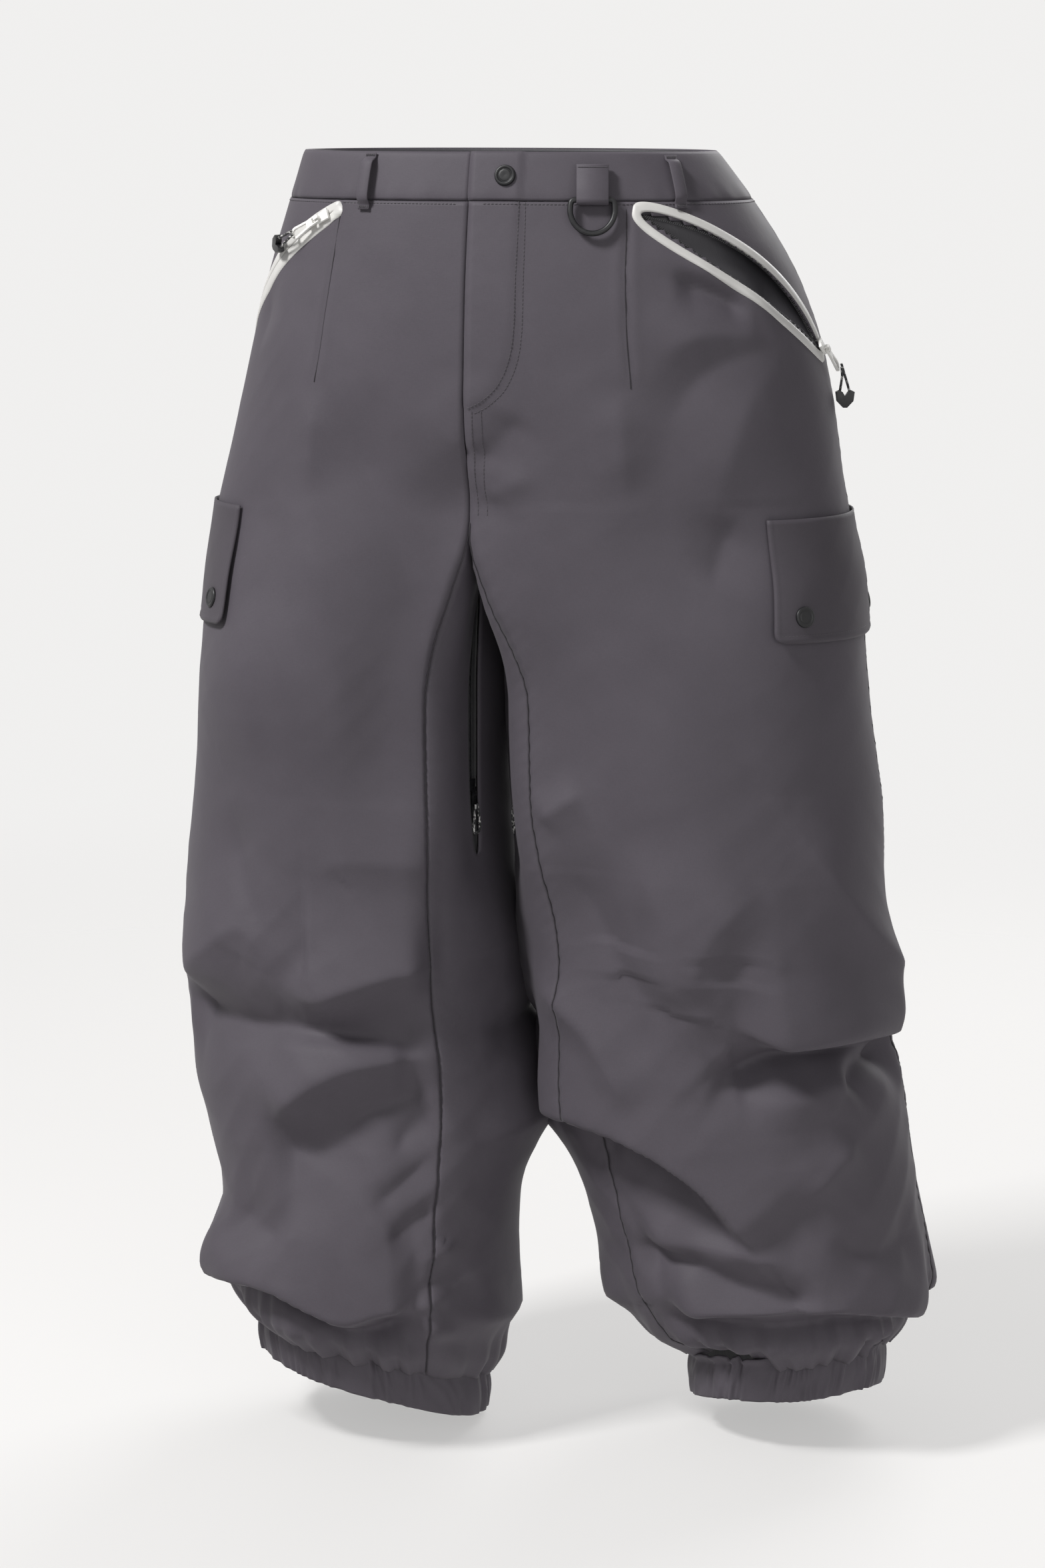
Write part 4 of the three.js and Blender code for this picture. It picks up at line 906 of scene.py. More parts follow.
# Each seam is a groove with ripples beside it; the front and back seams are sewn flat on the hips.
def seamsAt(share, drop):
    out = np.zeros(share.shape)
    below = (drop > cut["waistbandHeight"]) & (drop < cut["outseam"])
    for name, at in seams["at"].items():
        gap = share - at
        distance = np.abs(gap) * cut["girth"]
        ripple = np.sin(drop * 2 * np.pi / seams["puckerEvery"] + 1.7 * np.sin(drop * 0.05) + gap * 400)
        much = mix(seams["leastPucker"], 1, smooth((drop - 200) / 200))
        out += below * seams["pucker"] * ripple * bell(distance, 0, seams["puckerReach"]) * much
        sunk = below & ((drop >= cut["rise"]) | (name == "side"))
        out -= sunk * seams["groove"] * bell(distance, 0, seams["width"])
    return out


# A dart: a bell-shaped groove between two low shoulders, which runs out at its point.
def dartsAt(side, share, drop):
    out = np.zeros(share.shape)
    for line in darts[side]:
        distance, along, inside = fromLine(share, drop, line, 40)
        shoulder = bell(np.abs(distance), dartCut["shoulderAt"], dartCut["shoulderWidth"])
        groove = dartCut["deep"] * bell(distance, 0, dartCut["width"]) - dartCut["shoulder"] * shoulder
        out -= np.where(inside, groove * smooth((1 - along) / dartCut["fade"]), 0)
    return out


# The placket stands over the right front up to the fly's curved edge.
def placketAt(share, drop):
    distance, _, inside = fromLine(share, drop, flyEdge, 60)
    x = np.abs(bareLeg("left", share, drop)[..., 0])
    onIt = (x < placket["width"]) & (drop < placket["depth"]) & (share > 0.09) & (share < 0.3)
    sign = np.where(onIt & ~((drop > 150) & (distance > 0)), 1, -1)
    step = smooth(0.5 + sign * np.abs(np.where(inside, distance, 60)) / placket["edge"])
    low = smooth((placket["depth"] + 4 - drop) / 8)
    return placket["rise"] * step * low * (share > 0.09) * (share < 0.35)


# How much of a swelling stands at a drop: it eases in below its top and out above its foot.
def heldAt(form, drop):
    return smooth((drop - form["from"]) / form["easeIn"]) * smooth((form["to"] - drop) / form["easeOut"])


# A swelling: a bell of its reach round its share, held over its band of drops.
def swellingAt(form, side, share, drop):
    across = (np.where(share > 0.5, share - 1, share) - form["share"][side]) * cut["girth"]
    return form["tall"] * heldAt(form, drop) * bell(across, 0, form["reach"][side])


def gatherPhase(turn):
    return crease["gathers"] * turn + 2.2 * np.sin(3 * turn + 1) + 1.4 * np.sin(7 * turn)


# What the sewn cloth adds to the smooth face, outwards and downwards in millimetres: folds, swells and
# crumples, all kept low near zips and snaps, then seams, darts, the placket, swellings and gathers.
def relief(side, share, drop):
    share, drop = np.broadcast_arrays(np.asarray(share, float) % 1.0, np.asarray(drop, float))
    out, sag = np.zeros(share.shape), np.zeros(share.shape)
    for points, form in legFolds[side] + backFolds:
        rise = foldHeight(share, drop, points, form)
        out += rise
        sag += form[4] * np.maximum(0, rise)
    turn = 2 * np.pi * share
    out += swellsAt(turn, drop) + crumplesAt(turn, drop)
    still = leftNear(ventSlit, 0.85, 22, share, drop) * smooth((drop - 30) / 40)
    for line in calm[side]:
        still = still * leftNear(line, 0.9, 26, share, drop)
    for at in (flapCut["front"] + snapInset, flapCut["back"] - snapInset):
        still = still * leftNear([(at - 0.002, 355), (at + 0.002, 365)], 0.7, 22, share, drop, 60)
    out, sag = out * still, sag * still
    out += seamsAt(share, drop) + dartsAt(side, share, drop)
    if side == "left":
        out += placketAt(share, drop)
    atKnee = 1 + press["kneeMore"] * smooth((drop - press["kneeFrom"]) / press["kneeEase"])
    pressed = swellingAt(press, side, share, drop) * atKnee + swellingAt(lap, side, share, drop)
    out += pressed * leftNear(ventSlit, 0.98, 19, share, drop)
    inFront = (share > 0.09) & (share < 0.4)
    nearMiddle = bell(bareLeg(side, share, drop)[..., 0], 0, fillDip["reach"])
    out += fillDip["tall"] * heldAt(fillDip, drop) * inFront * nearMiddle
    phase = gatherPhase(turn)
    vary = 0.65 + 0.35 * np.sin(5 * turn + 2)
    wave = vary * np.sin(phase) * (1 + 0.4 * np.sin(2.3 * phase))
    out += smooth((drop - 930) / 56) * crease["gather"] * wave
    return out, sag


# The sewn cloth's outer face, lifted off it by an offset: the smooth face moved along its normal by the
# relief and down by its sag. Above the thighs it keeps to its own side of the middle.
def clothAt(side, share, drop, offset=0, keep=0.35):
    share, drop = np.broadcast_arrays(np.asarray(share, float), np.asarray(drop, float))
    point, normal, _, down, _ = legFrame(side, share, drop)
    out, sag = relief(side, share, drop)
    p = point + normal * (out + offset)[..., None] + down * sag[..., None]
    near = (drop < cut["rise"] + 110) & (signs[side] * p[..., 0] < keep)
    p[..., 0] = np.where(near, signs[side] * keep, p[..., 0])
    return p


# Flat places for the weave: across by share of the girth, along by drop.
def flatAt(share, drop):
    share, drop = np.broadcast_arrays(share, drop)
    return np.stack([share * cut["girth"], drop], -1).reshape(-1, 2)


# A grid of places laid on the cloth at a height over it, its faces looking outwards.
def onCloth(side, share, drop, lift):
    points = clothAt(side, share, drop, lift).reshape(-1, 3)
    outward = legFrame(side, share, drop)[1].reshape(-1, 3)
    return points, faceTowards(points, gridFaces(*share.shape), outward)


def arcWidth(side, start, end, drop):
    return lengthOf(bareLeg(side, np.linspace(start, end, 80), drop))


def flatSize(side, start, end, top, bottom):
    widths = [arcWidth(side, start, end, d) for d in np.linspace(top, bottom, 12)]
    size = round(max(widths) * metres, 3), round((bottom - top) * metres, 3)
    return size, round(float(np.mean(widths)) * (bottom - top) * metres**2, 4)


# How far each place lies outside an opening: its distance from the line less half the gape there.
def outsideOpening(side, share, drop, line, half):
    points = line(np.linspace(0.0, 1.0, 90))
    distance, along, inside = fromLine(share, drop, points, 60)
    return np.where(inside, np.abs(distance) - half(along), 50)


# ---- shell panels ----
panels = {
    "front_panel": {
        "from": cut["frontSeam"], "to": cut["sideSeam"], "top": 38.6, "columns": 104, "rows": 270,
    },
    "back_panel": {"from": cut["sideSeam"], "to": cut["backSeam"], "top": 38.6, "columns": 78, "rows": 262},
    "inner_leg_panel": {
        "from": cut["backSeam"], "to": 1 + cut["frontSeam"], "top": 285.6, "columns": 46, "rows": 200,
    },
}
hemDrop = cut["outseam"] - cut["seamGap"]
wall = 1.8


# A panel: a grid of shares and drops laid on the sewn cloth, kept a little inside its seams.
def panelGrid(side, start, end, top, columns, rows, edge=None):
    b, a = gridOf(rows, columns)
    drop = mix(top, hemDrop, b)
    low, high = (start, end) if edge is None else edge(drop[:, 0])
    share = mix(np.broadcast_to(low, rows)[:, None], np.broadcast_to(high, rows)[:, None], a)
    return share, drop


def layPanel(name, side, grids, openings=()):
    shapes, flats, outs = [], [], []
    for share, drop in grids:
        rows, columns = share.shape
        faces = gridFaces(rows, columns)
        for line, half in openings:
            gap = outsideOpening(side, share, drop, line, half).ravel()
            faces = faces[np.mean(gap[faces], 1) > 0]
        points = clothAt(side, share, drop).reshape(-1, 3)
        outs.append(legFrame(side, share, drop)[1].reshape(-1, 3))
        shapes.append((points, faceTowards(points, faces, outs[-1])))
        flats.append(flatAt(share, drop))
    points, faces = joined(shapes)
    piece = makePiece(name, points, faces, [shell, lining], np.vstack(flats))
    tidyMesh(piece)
    return thicken(piece, wall)


# Merges points that meet and drops those that no face uses.
def tidyMesh(piece, near=0.00002):
    work = bmesh.new()
    work.from_mesh(piece.data)
    bmesh.ops.delete(work, geom=[v for v in work.verts if not v.link_faces], context="VERTS")
    bmesh.ops.remove_doubles(work, verts=work.verts, dist=near)
    work.to_mesh(piece.data)
    work.free()


for side in sides:
    gape = pocket["gape"][side]
    pocketHole = (pocketLine, lambda a, g=gape: g * np.sin(np.pi * np.clip(a, 0, 1)) + 2.2)
    mouthHole = (mouthLine, lambda a: 6 * np.sin(np.pi * np.clip(a, 0, 1)) ** 0.4 + 0.6)
    for kind, sizes in panels.items():
        name = f"{kind}_{side}"
        grid = (side, sizes["from"], sizes["to"], sizes["top"], sizes["columns"], sizes["rows"])
        if kind == "inner_leg_panel":
            # The slit of the vent parts this panel into two grids that meet above and below it.
            def slit(drop):
                a = np.clip((drop - vent["top"]) / (vent["end"] - vent["top"]), 0, 1)
                return vent["gape"] * np.sin(np.pi * a) ** 0.3 / 820

            middle = 1 + vent["share"]
            half = sizes["columns"] // 2
            behind = panelGrid(*grid[:4], half + 8, grid[5], lambda d: (sizes["from"], middle - slit(d)))
            before = panelGrid(*grid[:4], half - 4, grid[5], lambda d: (middle + slit(d), sizes["to"]))
            piece = layPanel(f"{name}_cloth", side, [behind, before])
        else:
            holes = [pocketHole, mouthHole] if kind == "front_panel" else []
            piece = layPanel(f"{name}_cloth", side, [panelGrid(*grid)], holes)
        settle(piece, "garment", "shell", name)
        flat, area = flatSize(side, sizes["from"], sizes["to"], sizes["top"], hemDrop)
        min(area, flat[0] * flat[1])
print("panels laid")

# ---- waist ----
band = {"height": 38, "columns": 420, "rows": 16, "wall": 1.8, "overlap": 1.7}


# The band goes round the hips at a few drops; the end on the left side stands over the other in front.
def bandPoints(top, bottom, offset, rows, columns, roll):
    b, a = gridOf(rows, columns)
    drop = mix(top, bottom, b)
    left = a < 0.5
    share = mix(cut["frontSeam"], cut["backSeam"], np.where(left, a * 2, (1 - a) * 2))
    both = zip(legFrame("left", share, drop)[:2], legFrame("right", share, drop)[:2])
    points, normal = (np.where(left[..., None], ours, theirs) for ours, theirs in both)
    out = offset + roll * (1 - (2 * b - 1) ** 8) - roll
    ripple = 0.35 * np.sin(a * 240 + 2 * np.sin(a * 40)) * bell(b, 1, 0.25)
    step = band["overlap"] * smooth((42 - np.abs(points[..., 0])) / 3) * left * (points[..., 1] < 0)
    return points + normal * (out + ripple + step)[..., None], normal, a, drop


def layBand(name, top, bottom, offset, finishes, thickness, slot, roll, node):
    points, normal, a, drop = bandPoints(top, bottom, offset, band["rows"], band["columns"], roll)
    points = points.reshape(-1, 3)
    faces = faceTowards(points, gridFaces(band["rows"], band["columns"]), normal.reshape(-1, 3))
    flat = np.stack([a * 1150, drop], -1).reshape(-1, 2)
    piece = thicken(makePiece(name, points, faces, finishes, flat), thickness)
    settle(piece, "garment", slot, node)
    round((bottom - top) * metres, 3)
    return piece


layBand("waistband_cloth", 0.2, band["height"], 0, [shell, lining], band["wall"], "shell", 0.9, "waistband")
facing = (1, band["height"] - 1, -2.4, [lining, lining], 0.9)
layBand("waistband_lining", *facing, "lining", 0.1, "waistband_facing")


# Small sewn stitches: a rounded grain of thread for each, laid along its line just above the cloth.
stitch = {"every": 3.1, "long": 2.3, "thick": 0.36}


def stitchShapes(centres, along, normals):
    along, normals = (np.broadcast_to(v, centres.shape) for v in (along, normals))
    x, r = np.repeat([(-0.5, 0.35), (-0.32, 1), (0.32, 1), (0.5, 0.35)], 6, axis=0).T
    t = np.tile(np.arange(6) * np.pi / 3, 4)
    thick = r * stitch["thick"]
    local = np.stack([x * stitch["long"], thick * np.cos(t), thick * 0.75 * np.sin(t)], -1)
    parts = zip(local.T, (along, np.cross(normals, along), normals))
    points = centres[:, None] + sum(step[None, :, None] * axis[:, None] for step, axis in parts)
    one = facedOut(local, gridFaces(4, 6, True))
    faces = (one[None] + (np.arange(len(centres)) * len(local))[:, None, None]).reshape(-1, 4)
    return points.reshape(-1, 3), faces.tolist()


# Stitches on the cloth along lines of (share, drop).
def sewOn(side, lines, lift=0.2):
    shapes = []
    for line in lines:
        path = smoothLine(np.asarray(line, float) * (cut["girth"], 1), 400) / (cut["girth"], 1)
        laid = clothAt(side, path[:, 0], path[:, 1], lift)
        at = np.arange(1.5, lengthOf(laid) - 1, stitch["every"])
        ahead = unit(readAt(at, laid, np.gradient(laid, axis=0)))
        normal = readAt(at, laid, legFrame(side, path[:, 0], path[:, 1])[1])
        normal = unit(normal - ahead * np.sum(normal * ahead, -1, keepdims=True))
        shapes.append(stitchShapes(readAt(at, laid, laid), ahead, normal))
    return joined(shapes)


# A line moved sideways over the cloth.
def beside(line, gap):
    line = np.asarray(line, float)
    run = unit(np.gradient(line * (cut["girth"], 1), axis=0))
    return line + np.stack([run[:, 1] * gap / cut["girth"], -run[:, 0] * gap], -1)


loops = {
    "width": 10, "thick": 1.5, "places": {
        "front_right": ("right", 0.22), "front_left": ("left", 0.335), "back_right": ("right", 0.7),
        "back_left": ("left", 0.7), "centre_back": ("left", 0.897),
    },
    "profile": [
        (-22.6, 1.2), (-19, 1.3), (-17, 3.2), (-14, 5.6), (-6, 6.3),
        (6, 6.3), (14, 5.6), (17, 3.2), (19, 1.3), (22.6, 1.2),
    ],
}


def standOn(side, share, drop, up=(0, 0, 1)):
    point, normal = (v.reshape(3) for v in legFrame(side, share, drop)[:2])
    right = unit(np.cross(up, normal))
    return point, right, np.cross(normal, right), normal


for place, (side, share) in loops["places"].items():
    point, right, up, normal = standOn(side, share, 24)
    if place == "centre_back":
        point, normal = point * (0, 1, 1), unit(normal * (0, 1, 1))
        right = unit(np.cross((0, 0, 1), normal))
        up = np.cross(normal, right)
    line = smoothLine([point + up * y + normal * z for y, z in loops["profile"]], 44)
    points, faces, flat = strip(line, right, loops["width"], loops["thick"])
    tacks = [point + up * y + right * k * 0.95 + normal * 2.15 for y in (-20.8, 20.8) for k in range(-4, 5)]
    grains = stitchShapes(np.array(tacks), up, normal)
    belt = turnOut(makePiece(f"belt_loop_{place}_strap", points, faces, [shell], flat))
    sewn = makePiece(f"belt_loop_{place}_tacks", *grains, [thread])
    settle(belt, "garment", "shell", f"belt_loop_{place}")
    settle(sewn, "garment", "shell")
print("waist made")

# ---- small hardware ----
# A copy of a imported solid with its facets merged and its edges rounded.
def rounded(node, finish, width, body, slot, segments=3, name=None):
    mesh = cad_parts[node].data.copy()
    work = bmesh.new()
    work.from_mesh(mesh)
    bmesh.ops.remove_doubles(work, verts=work.verts, dist=0.00001)
    bmesh.ops.dissolve_limit(work, angle_limit=math.radians(2), verts=work.verts, edges=work.edges)
    sharp = [e for e in work.edges if len(e.link_faces) == 2 and e.calc_face_angle(0) > math.radians(38)]
    bmesh.ops.bevel(
        work, geom=sharp, offset=width * metres, segments=segments,
        affect="EDGES", profile=0.5, clamp_overlap=True,
    )
    bmesh.ops.triangulate(work, faces=[f for f in work.faces if len(f.verts) > 4])
    work.to_mesh(mesh)
    work.free()
    mesh.materials.clear()
    mesh.materials.append(finish)
    mesh.shade_smooth()
    mesh.set_sharp_from_angle(angle=math.radians(30))
    piece = bpy.data.objects.new(name or f"{node}_part", mesh)
    scene.collection.objects.link(piece)
    return settle(piece, body, slot, node)


# A turned piece: a profile of (radius, height) swept round the normal through a point.
def turned(name, centre, normal, profile, finish, around=56):
    right = unit(np.cross((0, 0, 1), normal))
    up = np.cross(normal, right)
    profile = np.asarray(profile, float)
    angle = 2 * np.pi * np.arange(around) / around
    ring = np.cos(angle)[None, :, None] * right + np.sin(angle)[None, :, None] * up
    points = centre + profile[:, :1, None] * ring + profile[:, 1:, None] * normal
    points = points.reshape(-1, 3)
    faces = gridFaces(len(profile), around, True)
    piece = makePiece(name, points, facedOut(points, faces), [finish])
    tidyMesh(piece, 0.000004)
    return turnOut(piece)


cap = {"radius": 8.3, "height": 2.4}


# A snap cap: a flat face, a shallow ring round it, and a rolled rim.
def capProfile(radius, tall):
    knots = [
        (0.001, 0.86), (0.3, 0.88), (0.52, 0.86), (0.6, 0.74), (0.66, 0.78), (0.74, 0.98), (0.86, 1),
        (0.95, 0.86), (1, 0.55), (0.99, 0.2), (0.95, 0), (0.5, 0), (0.001, 0),
    ]
    return smoothLine(np.array(knots) * (radius, tall), 60)


def studProfile(radius, tall):
    knots = [(0.001, 1), (0.3, 1), (0.45, 0.8), (0.55, 0.45), (0.95, 0.35), (1, 0.15), (0.95, 0), (0.001, 0)]
    return smoothLine(np.array(knots) * (radius, tall), 30)


point, _, _, normal = standOn("left", 0.13, 19)
profile = capProfile(cap["radius"], cap["height"] + 1.3)
piece = turned("waist_snap_face", point + normal * 0.4, normal, profile, hardware)
settle(piece, "garment", "hardware", "waist_snap_cap")
for node, finish, slot, width, body in (
    ("waist_snap_stud", hardware, "hardware", 0.3, "garment"),
    ("fly_tape_right", darkTape, "dark_tape", 0.2, "garment"),
    ("fly_tape_left", darkTape, "dark_tape", 0.2, "garment"),
    ("fly_slider", hardware, "hardware", 0.35, "fly_slider"),
    ("fly_pull", hardware, "hardware", 0.3, "fly_pull"),
):
    rounded(node, finish, width, body, slot)
rounded("fly_shield", lining, 0.5, "garment", "shell", name="fly_shield_cloth")

# D-ring and the strap that holds it
ringSizes = {"width": 39, "height": 31, "wire": 4.5, "strap": 25, "cloth": 1.5, "centre": 5.15}
ringAt = {
    "point": np.array((96.44, -102.07, -38)), "right": np.array((0.9692, 0.2462, 0)),
    "up": np.array((-0.0638, 0.2511, 0.9659)), "out": np.array((0.2378, -0.9361, 0.2591)),
}


def onRing(x, y, z):
    return ringAt["point"] + ringAt["right"] * x + ringAt["up"] * y + ringAt["out"] * z


half = (ringSizes["width"] - ringSizes["wire"]) / 2
tall = ringSizes["height"] - ringSizes["wire"]
bow = [(half * t, 0) for t in (-0.62, -0.2, 0.2, 0.62)] + [(half * 0.93, -1.2)]
turns = [math.pi * i / 10 for i in range(11)]
bow += [(half * math.cos(t), -tall * (0.3 + 0.7 * math.sin(t))) for t in turns]
bow += [(-half * 0.93, -1.2)]
line = smoothLine([onRing(x, y, ringSizes["centre"]) for x, y in bow], 200, closed=True)
points, faces = tube(line, ringSizes["wire"] / 2, 22, closed=True, up=ringAt["out"])
settle(turnOut(makePiece("d_ring_wire", points, faces, [hardware])), "d_ring", "hardware", "d_ring")
turns = np.linspace(math.pi, 2 * math.pi, 12)
arc = [(ringSizes["centre"] + 3.5 * math.cos(t), 3.5 * math.sin(t)) for t in turns]
fold = [(1.6, 28), (1.6, 18), (1.62, 6)] + arc + [(8.2, 8), (6.2, 18), (4.3, 28)]
line = smoothLine([onRing(0, y, z) for z, y in fold], 80)
points, faces, flat = strip(line, ringAt["right"], ringSizes["strap"], ringSizes["cloth"])
piece = turnOut(makePiece("d_ring_strap_web", points, faces, [shell], flat))
settle(piece, "garment", "shell", "d_ring_strap")
tacks = [onRing(x, y, 5.75 + (26 - y) * 0.12) for y in (25.5, 16) for x in np.arange(-10.5, 11, 2.1)]
grains = stitchShapes(np.array(tacks), ringAt["right"], ringAt["out"])
settle(makePiece("d_ring_strap_stitches", *grains, [thread]), "garment", "shell")
print("hardware made")

# ---- hand pockets ----
# The tape that borders an opening: a closed band of rows from its outer edge over its face to a rim
# that turns down behind the cloth's cut edge. Each row is (share of width, height over the cloth).
def loopTape(name, side, line, gape, width, profile, finishes, turns=180):
    total = lengthOf(bareLeg(side, *line(np.linspace(0, 1, 40)).T))
    turn = (2 * np.pi * np.arange(turns) / turns)[None] * np.ones((len(profile), 1))
    b = np.array([p[0] for p in profile])[:, None] * np.ones((1, turns))
    lift = np.array([p[1] for p in profile])[:, None] * np.ones((1, turns))
    reach = 0.5 + np.maximum(b, 0) * width / total
    offset = gape * np.sin(turn) + b * width * power(np.sin(turn), 0.35)
    share, drop = besideLine(side, line, 0.5 - reach * np.cos(turn), offset)
    points = clothAt(side, share, drop, lift).reshape(-1, 3)
    faces = gridFaces(len(profile), turns, True)
    outward = legFrame(side, share, drop)[1].reshape(-1, 3)
    flat = np.stack([b * width, turn * total / 2 / np.pi], -1).reshape(-1, 2)
    return makePiece(name, points, faceTowards(points, faces, outward), finishes, flat)


# A zip's coil along a line of points: a thin thread wound round it.
def coilAlong(line, normal, radius, pitch, threadRadius):
    count = int(lengthOf(line) / pitch) * 8
    at = np.linspace(0, lengthOf(line), count)
    here, along, out = (readAt(at, line, values) for values in (line, np.gradient(line, axis=0), normal))
    along, out = unit(along), unit(out)
    across = np.cross(along, out)
    angle = (at * 2 * np.pi / pitch)[:, None]
    wound = here + radius * (np.cos(angle) * across * 1.4 + np.sin(angle) * out * 0.8)
    return tube(wound, threadRadius, 5, up=(0.3, 0.2, 0.9))


# A zip's two coils, one beside each edge of the opening at a gap that may vary along it.
def layCoils(name, side, line, count, gap, depth, sizes):
    a = np.linspace(0.01, 0.99, count)
    coils = []
    for sign in (-1, 1):
        share, drop = besideLine(side, line, a, sign * gap(a))
        laid, normal = clothAt(side, share, drop, depth), legFrame(side, share, drop)[1]
        coils.append(coilAlong(laid, normal, *sizes))
    settle(makePiece(name, *joined(coils), [darkTape]), "garment", "dark_tape")


bag = {"room": 13, "face": 3.3}


# A pocket bag: a sheet behind the cloth, near it round its border and hanging away in the middle.
def layBag(name, side, shares, drops, node, rows=46, columns=52):
    b, a = gridOf(rows, columns)
    edge = np.minimum(np.minimum(a, 1 - a) * 4, np.minimum(b, 1 - b) * 4)
    belly = smooth(edge) * (0.75 + 0.25 * np.sin(3 * a + 5 * b) * np.sin(7 * b + 2 * a))
    share, drop = mix(shares[0], shares[1], a), mix(drops[0], drops[1], b)
    points, faces = onCloth(side, share, drop, -bag["face"] - bag["room"] * belly)
    piece = thicken(makePiece(name, points, faces, [lining], flatAt(share, drop)), 0.6, 0)
    settle(piece, "garment", "lining", node)
    flat, area = flatSize(side, *shares, *drops)


tapeRows = {
    "right": [
        (1, 0.15), (0.94, 0.9), (0.6, 1.25), (0.25, 1.3), (0.06, 1.15), (0.0, 0.4), (0.02, -1.2),
        (0.12, -2.6),
    ],
    "left": [
        (1, 0.15), (0.94, 0.9), (0.6, 1.3), (0.2, 1.4), (0.03, 1.2), (-0.04, 0.3), (0.0, -1.6), (0.14, -3.0),
    ],
}
for side in sides:
    gape = {"right": 0.3, "left": pocket["gape"]["left"]}[side]
    width = pocket["tape"] + pocket["gape"][side] - gape
    name = f"hand_pocket_tape_{side}"
    tape = loopTape(f"{name}_band", side, pocketLine, gape, width, tapeRows[side], [whiteTape])
    settle(tape, "garment", "white_tape", name)
    gap = lambda a, g=gape: g * np.sin(np.pi * a) - 0.9
    layCoils(f"hand_pocket_zip_{side}_coil", side, pocketLine, 160, gap, -1.3, (0.75, 1.6, 0.28))
    rounded(f"hand_pocket_slider_{side}", whiteMetal, 0.45, f"hand_pocket_slider_{side}", "white_metal")
    rounded(f"hand_pocket_puller_{side}", whiteMetal, 0.5, f"hand_pocket_puller_{side}", "white_metal")
    rounded(f"hand_pocket_cord_tip_{side}", hardware, 0.7, f"hand_pocket_puller_{side}", "hardware", 4)
    layBag(f"hand_pocket_bag_{side}_cloth", side, (0.205, 0.495), (47, 197), f"hand_pocket_bag_{side}")
print("hand pockets made")

# ---- thigh pockets ----
flapGrid = {"columns": 84, "rows": 40, "corner": 9, "wall": 1.5, "puff": 1.6}


# A flap: a grid on the cloth, its lower corners rounded and its free edges standing off a little.
def flapPlace(a, b):
    tall = flapCut["height"]
    width = (flapCut["back"] - flapCut["front"]) * cut["girth"]
    low = np.maximum(0, flapGrid["corner"] - (1 - b) * tall)
    inset = (flapGrid["corner"] - np.sqrt(np.maximum(0, flapGrid["corner"] ** 2 - low**2))) / width
    share = mix(flapCut["front"], flapCut["back"], inset + a * (1 - 2 * inset))
    drop = flapCut["top"] + b * tall + 3 * a * b
    edge = np.minimum(np.minimum(a, 1 - a) * width, (1 - b) * tall)
    stand = flapCut["lift"] + 1.5 + flapGrid["puff"] * smooth(b * 1.5) * (0.5 + 0.5 * np.sin(9 * a + 1.5))
    roll = -1.1 * bell(edge, 0, 1.2) + 0.35 * bell(edge, 3, 2.4) - 0.5 * bell(edge, 6.2, 0.9)
    bend = 1.1 * np.sin(2.2 * a * np.pi + 0.6) * b * b
    return share, drop, stand + roll + bend


for side in sides:
    b, a = gridOf(flapGrid["rows"], flapGrid["columns"])
    share, drop, lift = flapPlace(a, b**0.9)
    points, faces = onCloth(side, share, drop, lift)
    name = f"cargo_flap_{side}"
    cloth = makePiece(f"{name}_cloth", points, faces, [flapShadedShell, lining], flatAt(share, drop))
    flap = thicken(cloth, flapGrid["wall"])
    inset = 6.2 / ((flapCut["back"] - flapCut["front"]) * cut["girth"])
    low = 1 - 6.2 / flapCut["height"]
    down, across = np.linspace(0.04, low, 60), np.linspace(inset, 1 - inset, 90)
    rows = [(np.full(60, inset), down), (across, np.full(90, low)), (np.full(60, 1 - inset), down)]
    shapes = []
    for row in rows:
        share, drop, lift = flapPlace(*row)
        laid = clothAt(side, share, drop, lift + 0.1)
        at = np.arange(1, lengthOf(laid), stitch["every"])
        ahead = unit(readAt(at, laid, np.gradient(laid, axis=0)))
        normal = unit(readAt(at, laid, legFrame(side, share, drop)[1]))
        shapes.append(stitchShapes(readAt(at, laid, laid), ahead, normal))
    sewn = makePiece(f"{name}_stitches", *joined(shapes), [thread])
    top, bottom = (Vector(clothAt(side, 0.45, flapCut["top"] + d, 3.0)) * metres for d in (2, 26))
    for piece in (flap, sewn):
        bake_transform(piece, "garment", name, start=top, end=bottom)
    settle(flap, name, "shell", name)
    settle(sewn, name, "shell")
    for place, at in (("front", flapCut["front"] + snapInset), ("rear", flapCut["back"] - snapInset)):
        point, _, _, normal = standOn(side, at, flapCut["top"] + flapCut["height"] - 20)
        a = (at - flapCut["front"]) / (flapCut["back"] - flapCut["front"])
        under = float(relief(side, np.array(at), np.array(360.0))[0])
        stand = float(flapPlace(np.array(a), np.array(0.79))[2]) + under - 0.3
        profile = capProfile(cap["radius"], cap["height"])
        name = f"cargo_snap_{place}_{side}"
        piece = turned(f"{name}_cap", point + normal * stand, normal, profile, hardware)
        settle(piece, f"cargo_flap_{side}", "hardware", f"cargo_snap_cap_{place}_{side}")
        piece = turned(f"{name}_stud", point + normal * under, normal, studProfile(5, 1.3), hardware, 32)
        settle(piece, "garment", "hardware", f"cargo_snap_stud_{place}_{side}")
    shares = (flapCut["front"] + 0.014, cut["sideSeam"] - 0.01)
    layBag(f"cargo_pocket_bag_{side}_cloth", side, shares, (286, 451), f"cargo_pocket_bag_{side}")
    rows = [(1, 0.1), (0.8, 0.8), (0.3, 0.9), (0.0, 0.4), (-0.05, -1.2), (0.1, -2.2)]
    # The binding under the flap takes the painted-shade copy of the shell cloth.
    binding = loopTape(f"cargo_pocket_binding_{side}", side, mouthLine, 5.4, 4, rows, [flapShadedShell])
    settle(binding, "garment", "shell")
    drops = (flapCut["top"], flapCut["top"] + flapCut["height"])
    flat, _ = flatSize(side, flapCut["front"], flapCut["back"], *drops)
print("thigh pockets made")

